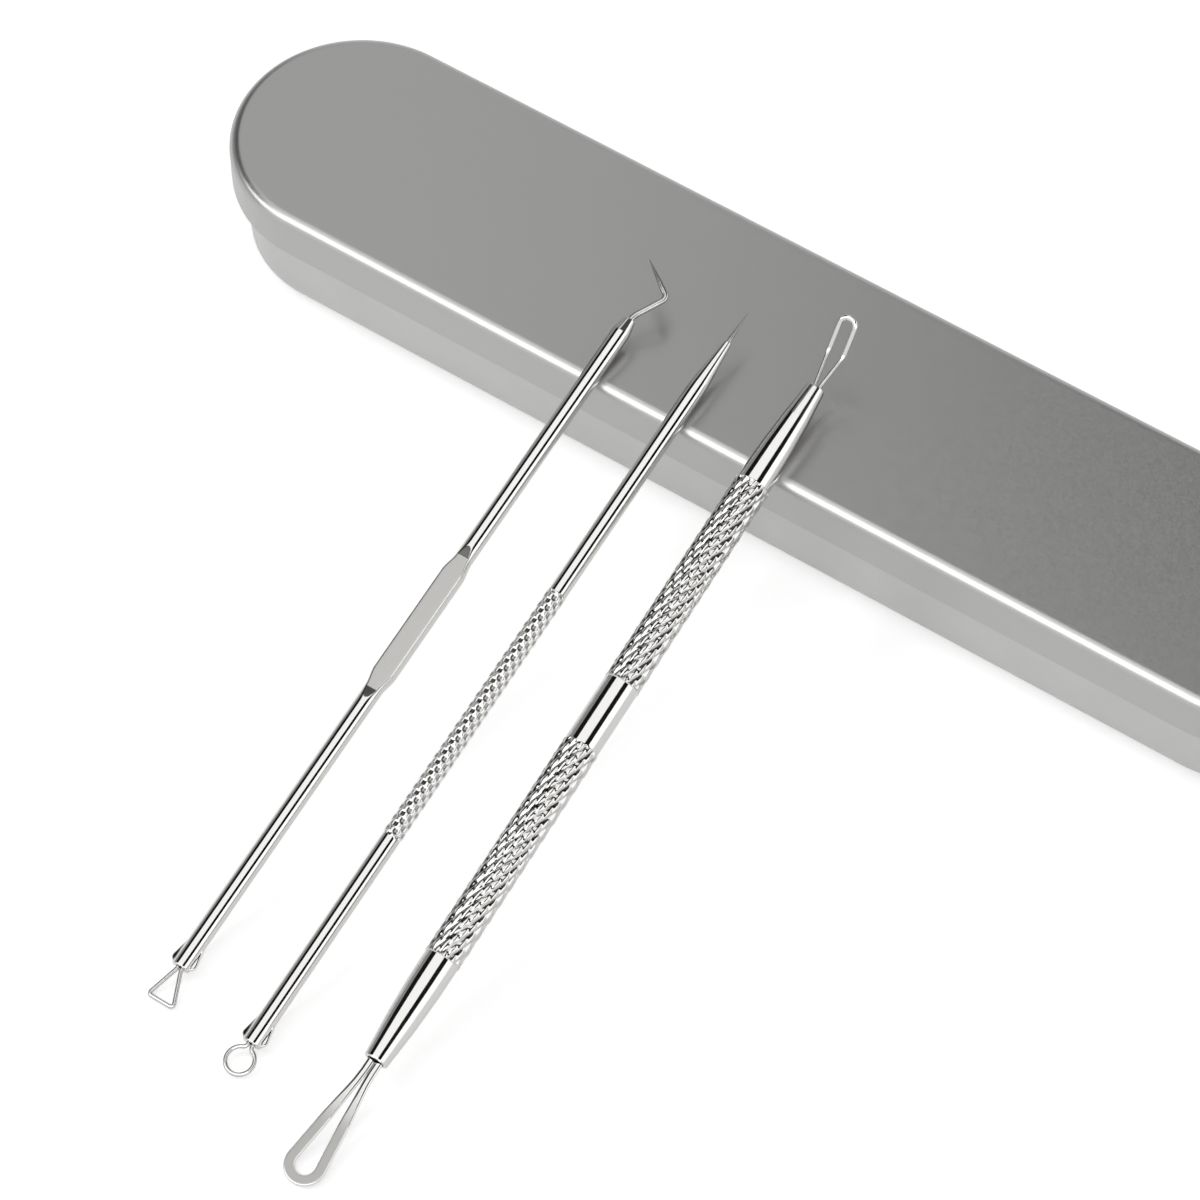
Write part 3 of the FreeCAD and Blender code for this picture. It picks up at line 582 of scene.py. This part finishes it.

# %% [markdown]
# ## The thick tool
# This handle has a long cone with a rounded nose at each end, two knurled stretches and a plain band
# between them. Its knurl is cut deeper: one family of grooves leaves slanted ridges, and the weaker
# family that crosses it notches them. The pads stay polished, and the relief makes the pattern, with
# a little painted shade in the grooves.

# %% Turn the thick handle
LOWER_CONE = 13.5
UPPER_CONE = 14.1
BAND = 4.2
BAND_LENGTH = 8.6
KNURL = 4.4
KNURL_ROWS = 13
KNURL_AROUND = 12
KNURL_DEPTH = 0.26
# Painted shade darkens the grooves a little.
KNURL_PAINTED_SHADE = 0.25
RIDGE_POWER = 2
NOTCH_SHARE, NOTCH_POWER = 0.65, 2.5
LOWER_NOSE, LOWER_NOSE_WIDTH = 7.5, 4.1
UPPER_NOSE, UPPER_NOSE_WIDTH = 6.8, 3.75
NOSE_BEND = 60.0
WIDE_TIP = 2.9
NARROW_TIP = 2.3
WIDE_BORE = 1.03
NARROW_BORE = 0.68
knurl_step = (KNURL - BAND) / 2
band_start = (knurled_length - BAND_LENGTH) / 2
band_stop = band_start + BAND_LENGTH
upper_cone = knurled_length - UPPER_CONE
knurl_stretches = [
    (LOWER_CONE + knurl_step, band_start - knurl_step),
    (band_stop + knurl_step, upper_cone - knurl_step),
]

thick_rod = lathe(bored([
    (0, WIDE_TIP / 2, EDGE_BREAK),
    (LOWER_NOSE, LOWER_NOSE_WIDTH / 2, NOSE_BEND),
    (LOWER_CONE, BAND / 2),
    (LOWER_CONE + knurl_step, KNURL / 2),
    (band_start - knurl_step, KNURL / 2),
    (band_start, BAND / 2),
    (band_stop, BAND / 2),
    (band_stop + knurl_step, KNURL / 2),
    (upper_cone - knurl_step, KNURL / 2),
    (upper_cone, BAND / 2),
    (knurled_length - UPPER_NOSE, UPPER_NOSE_WIDTH / 2, NOSE_BEND),
    (knurled_length, NARROW_TIP / 2, EDGE_BREAK),
], WIDE_BORE, NARROW_BORE), KNURL_AROUND * KNURL_STEPS, [
    (start, stop, KNURL_ROWS * KNURL_STEPS - 1) for start, stop in knurl_stretches
])


def slanted_ridges(one, two):
    """Full grooves of one family and shallower, narrower ones of the other."""
    return max((1 - two) ** RIDGE_POWER, NOTCH_SHARE * (1 - one) ** NOTCH_POWER)


for start, stop in knurl_stretches:
    press_knurl(thick_rod, start, stop, KNURL_ROWS, KNURL_AROUND, 0, KNURL_DEPTH, KNURL_PAINTED_SHADE, 0,
                slanted_ridges)
finish(thick_rod, "thick_knurled_rod", "knurled_handle", "knurled_tool", "polished_steel", knurled_tool)

# %% [markdown]
# ## Bent wire tips
# The loops and the hook are bent from wire and pressed into the handles' bores. A bevelled curve
# would give round wire of one thickness. Extruding a ring from place to place along the bend also
# lets the wire flatten into a band or run out into a point. The wire keeps a half-dull skin from the
# draw plate, and where it is ground it is painted darker, as painted shade. Its vertices note both for
# the material.

# %% Draw a wire
WIRE_SIDES = 24
WIRE_DULL = 0.45
# Painted shade on the ground part of a wire.
GROUND_TIP_PAINTED_SHADE = 0.6
FACING = Matrix.Rotation(quarter, 4, "Y")


def draw_wire(places, section):
    """Carries a round section along a path. section gives half its width and thickness at each step."""
    seats = [place @ Matrix.Diagonal((1, *section(place.translation), 1)) for place in places]
    bm = bmesh.new()
    bmesh.ops.create_circle(bm, cap_ends=True, radius=1, segments=WIRE_SIDES, matrix=seats[0] @ FACING)
    edges = bm.edges[:]
    for before, after in zip(seats, seats[1:]):
        pulled = bmesh.ops.extrude_edge_only(bm, edges=edges)["geom"]
        verts = only(pulled, bmesh.types.BMVert)
        edges = [edge for edge in only(pulled, bmesh.types.BMEdge) if set(edge.verts) <= set(verts)]
        bmesh.ops.transform(bm, matrix=after @ before.inverted(), verts=verts)
    bmesh.ops.edgeloop_fill(bm, edges=edges)
    return clean(bm)


def even_wire(diameter):
    return lambda spot: (diameter / 2, diameter / 2)


def darken(bm, ground=math.inf):
    """Notes a wire's half-dull drawn skin and, beyond the station where it is ground, a painted shade."""
    dull_layer = bm.verts.layers.float.new("dull")
    painted_shade_layer = bm.verts.layers.float.new("groove")
    for vert in bm.verts:
        vert[dull_layer] = WIRE_DULL
        vert[painted_shade_layer] = GROUND_TIP_PAINTED_SHADE * ease(vert.co.x - ground)


print("wire is drawn with", WIRE_SIDES, "sides")

# %% Bend the triangle loop
TAIL = 4.0
NECK = 0.3
TRIANGLE_LENGTH = 4.6
TRIANGLE_WIDTH = 3.95
TRIANGLE_SKEW = 0.34
TRIANGLE_CORNER = 0.35
far = TRIANGLE_LENGTH - LOOP_WIRE / 2
half_triangle = (TRIANGLE_WIDTH - LOOP_WIRE) / 2
triangle = draw_wire(trace([
    (-TAIL, tail_offset),
    (NECK, tail_offset, TRIANGLE_CORNER),
    (far, half_triangle + TRIANGLE_SKEW, TRIANGLE_CORNER),
    (far, TRIANGLE_SKEW - half_triangle, TRIANGLE_CORNER),
    (NECK, -tail_offset, TRIANGLE_CORNER),
    (-TAIL, -tail_offset),
]), even_wire(LOOP_WIRE))
darken(triangle)
finish(triangle, "triangle_wire", "triangle_loop", "flat_tool", "polished_steel", lower_end(flat_tool))

# %% Bend the round loop
RING = 3.8
RING_REACH = 4.1
RING_NECK = 0.6
ring_radius = (RING - LOOP_WIRE) / 2
ring_hub = RING_REACH - RING / 2
hub_gap = ring_radius + RING_NECK
neck_rise = tail_offset + RING_NECK
neck_turn = quarter - math.asin(neck_rise / hub_gap)
neck_start = TAIL + ring_hub - math.sqrt(hub_gap ** 2 - neck_rise ** 2)
ring = draw_wire(walk(Matrix.Translation((-TAIL, tail_offset, 0)), [
    (neck_start, 0),
    (RING_NECK, neck_turn),
    (ring_radius, -math.pi - 2 * neck_turn),
    (RING_NECK, neck_turn),
    (neck_start, 0),
]), even_wire(LOOP_WIRE))
darken(ring)
finish(ring, "ring_wire", "round_loop", "slim_tool", "polished_steel", lower_end(slim_tool))

# %% [markdown]
# ## Needles
# The hook is a wire bent out, back over the tool and ground to a long point. The lancet is a short
# straight needle. One is drawn as tapering wire and the other is turned.

# %% Bend and grind the hook
HOOK_ROOT = 0.5
HOOK_LEG = 4.66
HOOK_TURN = math.radians(-29)
HOOK_ROOT_BEND = 3.0
HOOK_POINT_LEG = 5.6
HOOK_POINT_TURN = math.radians(54.3)
HOOK_KNEE_BEND = 0.8
HOOK_SHANK = 1.4
HOOK_POINT = 0.08
HOOK_STEP = 0.4
knee = Vector((HOOK_ROOT + HOOK_LEG * math.cos(HOOK_TURN), HOOK_LEG * math.sin(HOOK_TURN)))
point_way = Vector((math.cos(HOOK_POINT_TURN), math.sin(HOOK_POINT_TURN)))
point = knee + point_way * HOOK_POINT_LEG


def hook_section(spot):
    """The wire keeps its thickness up to the shank's end, then runs out to the point."""
    beyond = (spot.xy - knee).dot(point_way) - HOOK_SHANK
    share = between(beyond / (HOOK_POINT_LEG - HOOK_SHANK), 0, 1) if spot.x > HOOK_ROOT else 0
    radius = (HOOK_WIRE + (HOOK_POINT - HOOK_WIRE) * share) / 2
    return radius, radius


hook = draw_wire(trace([
    (-TAIL, 0), (HOOK_ROOT, 0, HOOK_ROOT_BEND), (*knee, HOOK_KNEE_BEND), tuple(point),
], HOOK_STEP), hook_section)
darken(hook, knee.x + HOOK_SHANK * point_way.x)
finish(hook, "hook_wire", "hook_needle", "flat_tool", "polished_steel", upper_end(flat_tool, flat_length))

# %% Turn the lancet
LANCET_LENGTH = 4.4
LANCET_SHANK = 0.6
LANCET_POINT = 0.06
lancet = lathe([
    (-TAIL, 0), (-TAIL, LANCET / 2), (LANCET_SHANK, LANCET / 2),
    (LANCET_LENGTH, LANCET_POINT / 2), (LANCET_LENGTH, 0),
], WIRE_SIDES)
darken(lancet, 0)
finish(lancet, "lancet_point", "lancet_needle", "slim_tool", "polished_steel",
       upper_end(slim_tool, slim_length))

# %% [markdown]
# ## The thick tool's loops
# Both loops are one wire, doubled, with its tails side by side in the bore. The wide loop's far end
# is rolled into a flat band, which is what meets the skin. The narrow one stays wire and is bent up
# twice. Folding a finished flat loop along a few close lines gives that bend its small radius.

# %% Press the wide loop
WIDE_LENGTH = 16.2
WIDE_WIDTH = 4.95
WIDE_BAND = 1.3
WIDE_THICKNESS = 0.6
WIDE_FLAT = 0.34
WIDE_ROOT_WIRE = 0.95
WIDE_TURN = math.radians(-0.9)
WIDE_SPREAD = 2.2
WIDE_FLAT_START = 2.5
WIDE_FLAT_STOP = 9.0
WIDE_STEP = 0.5
WIDE_ROOT_BEND = 12.0
wide_bow = (WIDE_WIDTH - WIDE_BAND) / 2
wide_hub = WIDE_LENGTH - WIDE_WIDTH / 2


def rolled_share(x):
    return ease((x - WIDE_FLAT_START) / (WIDE_FLAT_STOP - WIDE_FLAT_START))


def wide_section(spot):
    """Narrow beside the bore, wider where it is rolled flat."""
    return (WIDE_ROOT_WIRE + (WIDE_BAND - WIDE_ROOT_WIRE) * rolled_share(spot.x)) / 2, WIDE_THICKNESS / 2


def there_and_back(side):
    """The corners along one side of a loop and, mirrored, those of the way back."""
    return side + [(x, -y, *bend) for x, y, *bend in reversed(side)]


def hairpin(root, hub, bow, root_bend, step):
    """Places along a wire that leaves its bore, spreads to a half-round end and comes back."""
    spoke = Vector((hub - root.x, -root.y))
    spread = math.atan2(spoke.y, spoke.x) + math.asin(bow / spoke.length)
    corner = bow * math.tan(quarter / 2 + spread / 2)
    side = [(-TAIL, root.y), (root.x, root.y, root_bend), (hub + bow, corner, bow)]
    return trace(there_and_back(side), step)


wide_root = Vector((WIDE_SPREAD, WIDE_ROOT_WIRE / 2))
wide = draw_wire(hairpin(wide_root, wide_hub, wide_bow, WIDE_ROOT_BEND, WIDE_STEP), wide_section)
dull_layer = wide.verts.layers.float.new("dull")
for vert in wide.verts:
    share = rolled_share(vert.co.x)
    half = (WIDE_THICKNESS + (WIDE_FLAT - WIDE_THICKNESS) * share) / 2
    if abs(vert.co.z) > half:
        vert.co.z = math.copysign(half, vert.co.z)
        vert[dull_layer] = share
loop_verts = [vert for vert in wide.verts if vert.co.x > NECK]
bmesh.ops.rotate(wide, verts=loop_verts, cent=(NECK, 0, 0), matrix=Matrix.Rotation(WIDE_TURN, 3, "Z"))
finish(wide, "wide_loop_wire", "wide_loop", "knurled_tool", "polished_steel", lower_end(knurled_tool))

# %% Fold the narrow loop
NARROW_LEG = 4.7
NARROW_HOOP = 4.9
NARROW_WIDTH = 2.6
NARROW_WIRE = 0.6
NARROW_HOOP_BAND = 0.64
NARROW_LEG_WIRE = 0.46
NARROW_THICKNESS = 0.5
NARROW_BEND = math.radians(11)
NARROW_CREASE = math.radians(28)
NARROW_STEP = 0.25
NARROW_ROOT_BEND, NARROW_LEG_BEND = 1.0, 2.0
# How far before the hoop the legs begin to widen and to shine.
NARROW_WIDENS, NARROW_SHINES = 0.5, 1.0
FOLDS = 5
FOLD_LENGTH = 1.0
narrow_bow = (NARROW_WIDTH - NARROW_HOOP_BAND) / 2
narrow_hub = NARROW_LEG + NARROW_HOOP - NARROW_WIDTH / 2


def narrow_section(spot):
    """Thin legs that widen into the hoop."""
    share = ease(spot.x - NARROW_LEG + NARROW_WIDENS)
    return (NARROW_LEG_WIRE + (NARROW_HOOP_BAND - NARROW_LEG_WIRE) * share) / 2, NARROW_THICKNESS / 2


half_side = [
    (-TAIL, NARROW_WIRE / 2),
    (NECK, NARROW_WIRE / 2, NARROW_ROOT_BEND),
    (NARROW_LEG, narrow_bow, NARROW_LEG_BEND),
    (narrow_hub + narrow_bow, narrow_bow, narrow_bow),
]
narrow = draw_wire(trace(there_and_back(half_side), NARROW_STEP), narrow_section)
dull_layer = narrow.verts.layers.float.new("dull")
for vert in narrow.verts:
    vert[dull_layer] = WIRE_DULL * (1 - ease(vert.co.x - NARROW_LEG + NARROW_SHINES))


def fold(bm, station, angle, length):
    """Bends everything beyond a station upwards, in a few steps spread over a short length."""
    turn = Matrix.Rotation(-angle / FOLDS, 3, "Y")
    for step in reversed(range(FOLDS)):
        line = station + length * ((step + 0.5) / FOLDS - 0.5)
        beyond = [vert for vert in bm.verts if vert.co.x > line]
        bmesh.ops.rotate(bm, verts=beyond, cent=(line, 0, 0), matrix=turn)


fold(narrow, NARROW_LEG, NARROW_CREASE, FOLD_LENGTH)
fold(narrow, NECK, NARROW_BEND, NECK)
finish(narrow, "narrow_loop_wire", "narrow_loop", "knurled_tool", "polished_steel",
       upper_end(knurled_tool, knurled_length))

# %% [markdown]
# ## Materials
# Both finishes are metal, so their colour is the colour of what they reflect. What tells them apart
# is roughness: the tools are polished like mirrors, the tin is satin. One helper adds a node with its
# settings and links, and one turns the sRGB colours of a picture into the linear ones of a shader.

# %% Add nodes and colours
# A Mix node has several sockets of each name, so those for colours go by number.
MIX_A, MIX_B, MIX_COLOUR = 6, 7, 2


def to_linear(colour):
    """Turns an sRGB hex colour into linear red, green, blue and alpha."""
    shares = [int(colour[start:start + 2], 16) / 255 for start in (1, 3, 5)]
    linear = [share / 12.92 if share <= 0.04045 else ((share + 0.055) / 1.055) ** 2.4 for share in shares]
    return (*linear, 1.0)


def add(tree, kind, inputs=None, **settings):
    """Adds a node. settings are its own, and inputs are values or sockets to link, by socket name."""
    node = tree.nodes.new(kind)
    for name, value in settings.items():
        setattr(node, name, value)
    for name, value in (inputs or {}).items():
        if isinstance(value, bpy.types.NodeSocket):
            tree.links.new(value, node.inputs[name])
        else:
            node.inputs[name].default_value = value
    return node


def new_material(name):
    material = bpy.data.materials.new(name)
    material.use_nodes = True
    material.node_tree.nodes.clear()
    return material, material.node_tree


print("mid grey is", round(to_linear("#808080")[0], 3), "in linear light")

# %% [markdown]
# ## Satin tinplate
# Tinplate is thin steel sheet with a coat of tin, here rolled with a dull surface and drawn to shape.
# The eye sees a soft grey sheen with a fine cloudy grain and no clear reflection. The lid is painted a
# little greyer than the base, as painted shade that sets the two apart.

# %% Make the tinplate
# The rolled grain is really finer than this. It is drawn as coarse as it needs to be to show.
GRAIN = 0.35 * MM
GRAIN_HEIGHT = 0.02 * MM
GRAIN_STRENGTH = 0.15
CLOUD = 7.0 * MM
SATIN_LEAST, SATIN_MOST = 0.26, 0.38
tinplate, tree = new_material("satin_tinplate")
spot = add(tree, "ShaderNodeTexCoord").outputs["Object"]
grain = add(tree, "ShaderNodeTexNoise", {"Vector": spot, "Scale": 1 / GRAIN, "Detail": 2.0})
cloud = add(tree, "ShaderNodeTexNoise", {"Vector": spot, "Scale": 1 / CLOUD, "Detail": 4.0})
unshaded_tin = add(tree, "ShaderNodeMix", {
    0: cloud.outputs["Fac"], MIX_A: to_linear("#bebebd"), MIX_B: to_linear("#c8c8c7")}, data_type="RGBA")
# Painted shade: where the lid is marked, its colour is mixed greyer than the base's.
painted_lid_shade = add(tree, "ShaderNodeAttribute", attribute_name="painted_lid_shade").outputs["Fac"]
tint = add(tree, "ShaderNodeMix", {
    0: painted_lid_shade, MIX_A: unshaded_tin.outputs[MIX_COLOUR], MIX_B: to_linear("#b6b6b5")}, data_type="RGBA")
dull = add(tree, "ShaderNodeMapRange", {
    "Value": grain.outputs["Fac"], "To Min": SATIN_LEAST, "To Max": SATIN_MOST})
relief = add(tree, "ShaderNodeBump", {
    "Height": grain.outputs["Fac"], "Strength": GRAIN_STRENGTH, "Distance": GRAIN_HEIGHT})
sheen = add(tree, "ShaderNodeBsdfPrincipled", {
    "Base Color": tint.outputs[MIX_COLOUR], "Metallic": 1.0,
    "Roughness": dull.outputs["Result"], "Normal": relief.outputs["Normal"]})
add(tree, "ShaderNodeOutputMaterial", {"Surface": sheen.outputs["BSDF"]})
for piece in pieces["tinplate"]:
    piece.data.materials.append(tinplate)
print("tinplate grain is", GRAIN / MM, "mm")

# %% [markdown]
# ## Polished stainless steel
# The tools are stainless steel, turned, pressed and then polished in a drum. The eye sees a near
# mirror with faint lengthwise lines, rougher grooves that the polish could not reach, frosted knurl
# pads and half-dull wire. The grooves, the grip's ramps and the ground needle points are painted
# darker, as painted shade. One material serves all of them and reads the notes on the vertices.

# %% Make the steel
# Polishing lines are really a few hundredths of a millimetre wide. These are coarser, so that they show.
LINE_WIDTH = 0.12 * MM
LINE_LENGTH = 6.0 * MM
TOOL_LEAN = math.radians(11.3)
POLISH_LEAST, POLISH_MOST = 0.04, 0.13
# What a groove, a dull place and a frosted pad add to the roughness of the polish.
GROOVE_ROUGH, DULL_ROUGH, FROST_ROUGH = 0.12, 0.30, 0.25
steel, tree = new_material("polished_stainless_steel")
spot = add(tree, "ShaderNodeTexCoord").outputs["Object"]
along = add(tree, "ShaderNodeMapping", {
    "Vector": spot, "Rotation": (-TOOL_LEAN, 0, 0),
    "Scale": (1 / LINE_WIDTH, 1 / LINE_LENGTH, 1 / LINE_WIDTH)})
lines = add(tree, "ShaderNodeTexNoise", {"Vector": along.outputs["Vector"], "Scale": 1.0, "Detail": 2.0})
groove = add(tree, "ShaderNodeAttribute", attribute_name="groove").outputs["Fac"]
shine = add(tree, "ShaderNodeMapRange", {
    "Value": lines.outputs["Fac"], "To Min": POLISH_LEAST, "To Max": POLISH_MOST})
dull = add(tree, "ShaderNodeAttribute", attribute_name="dull").outputs["Fac"]
worn = add(tree, "ShaderNodeMath", {
    0: groove, 1: GROOVE_ROUGH, 2: shine.outputs["Result"]}, operation="MULTIPLY_ADD")
rough = add(tree, "ShaderNodeMath", {
    0: dull, 1: DULL_ROUGH, 2: worn.outputs["Value"]}, operation="MULTIPLY_ADD")
# Painted shade: the groove note mixes the steel towards near black in knurl grooves, on the grip's ramps
# and at the ground needle points.
tint = add(tree, "ShaderNodeMix", {
    0: groove, MIX_A: to_linear("#d6d5d3"), MIX_B: to_linear("#141414")}, data_type="RGBA")
frost = add(tree, "ShaderNodeAttribute", attribute_name="frost").outputs["Fac"]
matt = add(tree, "ShaderNodeMath", {
    0: frost, 1: FROST_ROUGH, 2: rough.outputs["Value"]}, operation="MULTIPLY_ADD")
pale = add(tree, "ShaderNodeMix", {
    0: frost, MIX_A: tint.outputs[MIX_COLOUR], MIX_B: to_linear("#f2f1ef")}, data_type="RGBA")
pressed = add(tree, "ShaderNodeMix", {
    0: dull, MIX_A: pale.outputs[MIX_COLOUR], MIX_B: to_linear("#9c9b99")}, data_type="RGBA")
mirror = add(tree, "ShaderNodeBsdfPrincipled", {
    "Base Color": pressed.outputs[MIX_COLOUR], "Metallic": 1.0, "Roughness": matt.outputs["Value"]})
add(tree, "ShaderNodeOutputMaterial", {"Surface": mirror.outputs["BSDF"]})
for piece in pieces["polished_steel"]:
    piece.data.materials.append(steel)
print("polishing lines are", LINE_WIDTH / MM, "mm wide")

# %% [markdown]
# ## Table, lamps and cards
# Polished metal shows its surroundings, so the surroundings are part of its look. One broad soft
# lamp hangs over the set, and dark cards beside it draw the thin black lines along the rods. Bright
# screens beyond the cards whiten the rods' right sides and the lid's front edge, and a half-bright,
# half-dark one at the back lets the lid's panel darken towards the right. The cards and screens are
# seen in reflections only, so they cast no shade on the table, and the small key lamp is left out of
# reflections, because it is there for the shadows.

# %% Lay the table and light the world
TABLE_REACH = 4.0
TABLE_DROP = 0.02 * MM
TABLE_GLOW = 0.50
TABLE_MIRRORED = 0.65
AMBIENT = 0.45


def background_share(tree, mirrored):
    """A socket that is 1 where the background is seen, less where metal mirrors it, and else 0."""
    rays = add(tree, "ShaderNodeLightPath").outputs
    glossy = add(tree, "ShaderNodeMath", {0: rays["Is Glossy Ray"], 1: mirrored}, operation="MULTIPLY")
    seen = add(tree, "ShaderNodeMath", {0: rays["Is Camera Ray"], 1: glossy.outputs["Value"]},
               operation="MAXIMUM")
    return add(tree, "ShaderNodeMath", {0: seen.outputs["Value"], 1: rays["Is Transmission Ray"]},
               operation="MAXIMUM").outputs["Value"]


def stage_mesh(name, matrix, material):
    """A flat square, one metre wide before its matrix, that belongs to the studio."""
    bm = bmesh.new()
    bmesh.ops.create_grid(bm, x_segments=1, y_segments=1, size=0.5, matrix=matrix)
    mesh = bpy.data.meshes.new(name)
    bm.to_mesh(mesh)
    bm.free()
    mesh.materials.append(material)
    board = bpy.data.objects.new(name, mesh)
    bpy.context.scene.collection.objects.link(board)
    return board


paper, tree = new_material("white_paper")
shown = background_share(tree, TABLE_MIRRORED)
glow = add(tree, "ShaderNodeMath", {0: shown, 1: TABLE_GLOW}, operation="MULTIPLY")
matt = add(tree, "ShaderNodeBsdfPrincipled", {
    "Base Color": to_linear("#f2f2f2"), "Roughness": 0.9, "Specular IOR Level": 0.1,
    "Emission Color": (1, 1, 1, 1), "Emission Strength": glow.outputs["Value"]})
add(tree, "ShaderNodeOutputMaterial", {"Surface": matt.outputs["BSDF"]})
stage_mesh("table", Matrix.Translation((0, 0, -TABLE_DROP)) @ Matrix.Scale(2 * TABLE_REACH, 4), paper)

world = bpy.data.worlds.new("white_room")
world.use_nodes = True
world.node_tree.nodes.clear()
tree = world.node_tree
shown = background_share(tree, 1.0)
level = add(tree, "ShaderNodeMapRange", {"Value": shown, "To Min": AMBIENT, "To Max": 1.0})
room = add(tree, "ShaderNodeBackground", {"Color": (1, 1, 1, 1), "Strength": level.outputs["Result"]})
add(tree, "ShaderNodeOutputWorld", {"Surface": room.outputs["Background"]})
bpy.context.scene.world = world
print("the table reaches", TABLE_REACH, "m each way")

# %% Hang the lamps and the cards
LAMP_HEIGHT = 1.6
LAMP_DROP = 0.01
LAMP_LEFT, LAMP_RIGHT, LAMP_FRONT, LAMP_BACK = -0.67, 0.40, -0.26, 0.45
LAMP_GLOW = 0.66
CARD_LEFT, CARD_RIGHT, CARD_FRONT, CARD_BACK = -2.1, 1.15, -0.60, 0.55
LONG_CARD_RIGHT, LONG_CARD_BACK = -1.0, 1.1
SCREEN_LEFT, SCREEN_RIGHT, SCREEN_FRONT, SCREEN_BACK = -2.0, 12.0, -1.5, 6.0
SCREEN_SPLIT = -0.36
DARK = 0.01
# Left, right, front and back edge in lamp heights, and brightness.
CARDS = {
    "lamp_housing": (LAMP_LEFT, LAMP_RIGHT, LAMP_FRONT, LAMP_BACK, 0.68),
    "left_card": (CARD_LEFT, LAMP_LEFT, CARD_FRONT, CARD_BACK, DARK),
    "left_back_card": (CARD_LEFT, LONG_CARD_RIGHT, CARD_BACK, LONG_CARD_BACK, DARK),
    "right_card": (LAMP_RIGHT, CARD_RIGHT, CARD_FRONT, CARD_BACK, DARK),
    "back_card": (LAMP_LEFT, LAMP_RIGHT, LAMP_BACK, CARD_BACK, DARK),
    "front_card": (LAMP_LEFT, LAMP_RIGHT, CARD_FRONT, LAMP_FRONT, 2.8),
    "front_screen": (SCREEN_LEFT, -SCREEN_LEFT, SCREEN_FRONT, CARD_FRONT, 3.2),
    "right_screen": (CARD_RIGHT, SCREEN_RIGHT, CARD_FRONT, SCREEN_BACK, 1.6),
    "back_screen": (LONG_CARD_RIGHT, SCREEN_SPLIT, CARD_BACK, SCREEN_BACK, 0.80),
    "right_back_screen": (SCREEN_SPLIT, CARD_RIGHT, CARD_BACK, SCREEN_BACK, 0.08),
    "left_back_screen": (CARD_LEFT, LONG_CARD_RIGHT, LONG_CARD_BACK, SCREEN_BACK, 0.6),
}
WALL_LENGTH = 4.0
WALL_GLOW = 0.33
KEY_PLACE = Vector((-0.75, -0.15, 0.75))
KEY_SIZE = 0.25
KEY_POWER = 1.6


def hang_lamp(name, place, aim, width, depth, power):
    data = bpy.data.lights.new(name, "AREA")
    data.shape = "RECTANGLE"
    data.size = width
    data.size_y = depth
    data.energy = power
    lamp = bpy.data.objects.new(name, data)
    lamp.location = place
    lamp.rotation_euler = (aim - place).to_track_quat("-Z", "Y").to_euler()
    lamp.visible_camera = False
    bpy.context.scene.collection.objects.link(lamp)
    return lamp


lamp_width = (LAMP_RIGHT - LAMP_LEFT) * LAMP_HEIGHT
lamp_depth = (LAMP_BACK - LAMP_FRONT) * LAMP_HEIGHT
lamp_way = Vector(((LAMP_LEFT + LAMP_RIGHT) / 2, (LAMP_FRONT + LAMP_BACK) / 2, 1))
lamp_place = lamp_way * (LAMP_HEIGHT - LAMP_DROP)
hang_lamp("overhead_softbox", lamp_place, Vector((lamp_place.x, lamp_place.y, 0)), lamp_width, lamp_depth,
          LAMP_GLOW * math.pi * lamp_width * lamp_depth)
key = hang_lamp("left_key", KEY_PLACE, Vector(), KEY_SIZE, KEY_SIZE, KEY_POWER)
key.visible_glossy = False


def hang_card(name, matrix, glow):
    """A card of even brightness that only reflections show."""
    board, tree = new_material(name)
    shade = add(tree, "ShaderNodeEmission", {"Color": (1, 1, 1, 1), "Strength": glow})
    add(tree, "ShaderNodeOutputMaterial", {"Surface": shade.outputs["Emission"]})
    card = stage_mesh(name, matrix, board)
    card.visible_camera = False
    card.visible_diffuse = False
    card.visible_shadow = False


for name, (left, right, front, back, glow) in CARDS.items():
    centre = Matrix.Translation(Vector(((left + right) / 2, (front + back) / 2, 1)) * LAMP_HEIGHT)
    spread = Matrix.Diagonal(((right - left) * LAMP_HEIGHT, (back - front) * LAMP_HEIGHT, 1, 1))
    hang_card(name, centre @ spread, glow)
wall_middle = Matrix.Translation((CARD_LEFT * LAMP_HEIGHT, 0, LAMP_HEIGHT / 2))
wall_spread = Matrix.Diagonal((LAMP_HEIGHT, WALL_LENGTH * LAMP_HEIGHT, 1, 1))
hang_card("left_wall", wall_middle @ FACING @ wall_spread, WALL_GLOW)
print("lamp is", round(lamp_width, 2), "by", round(lamp_depth, 2), "m")

# %% Set the colours as written
bpy.context.scene.view_settings.view_transform = "Standard"
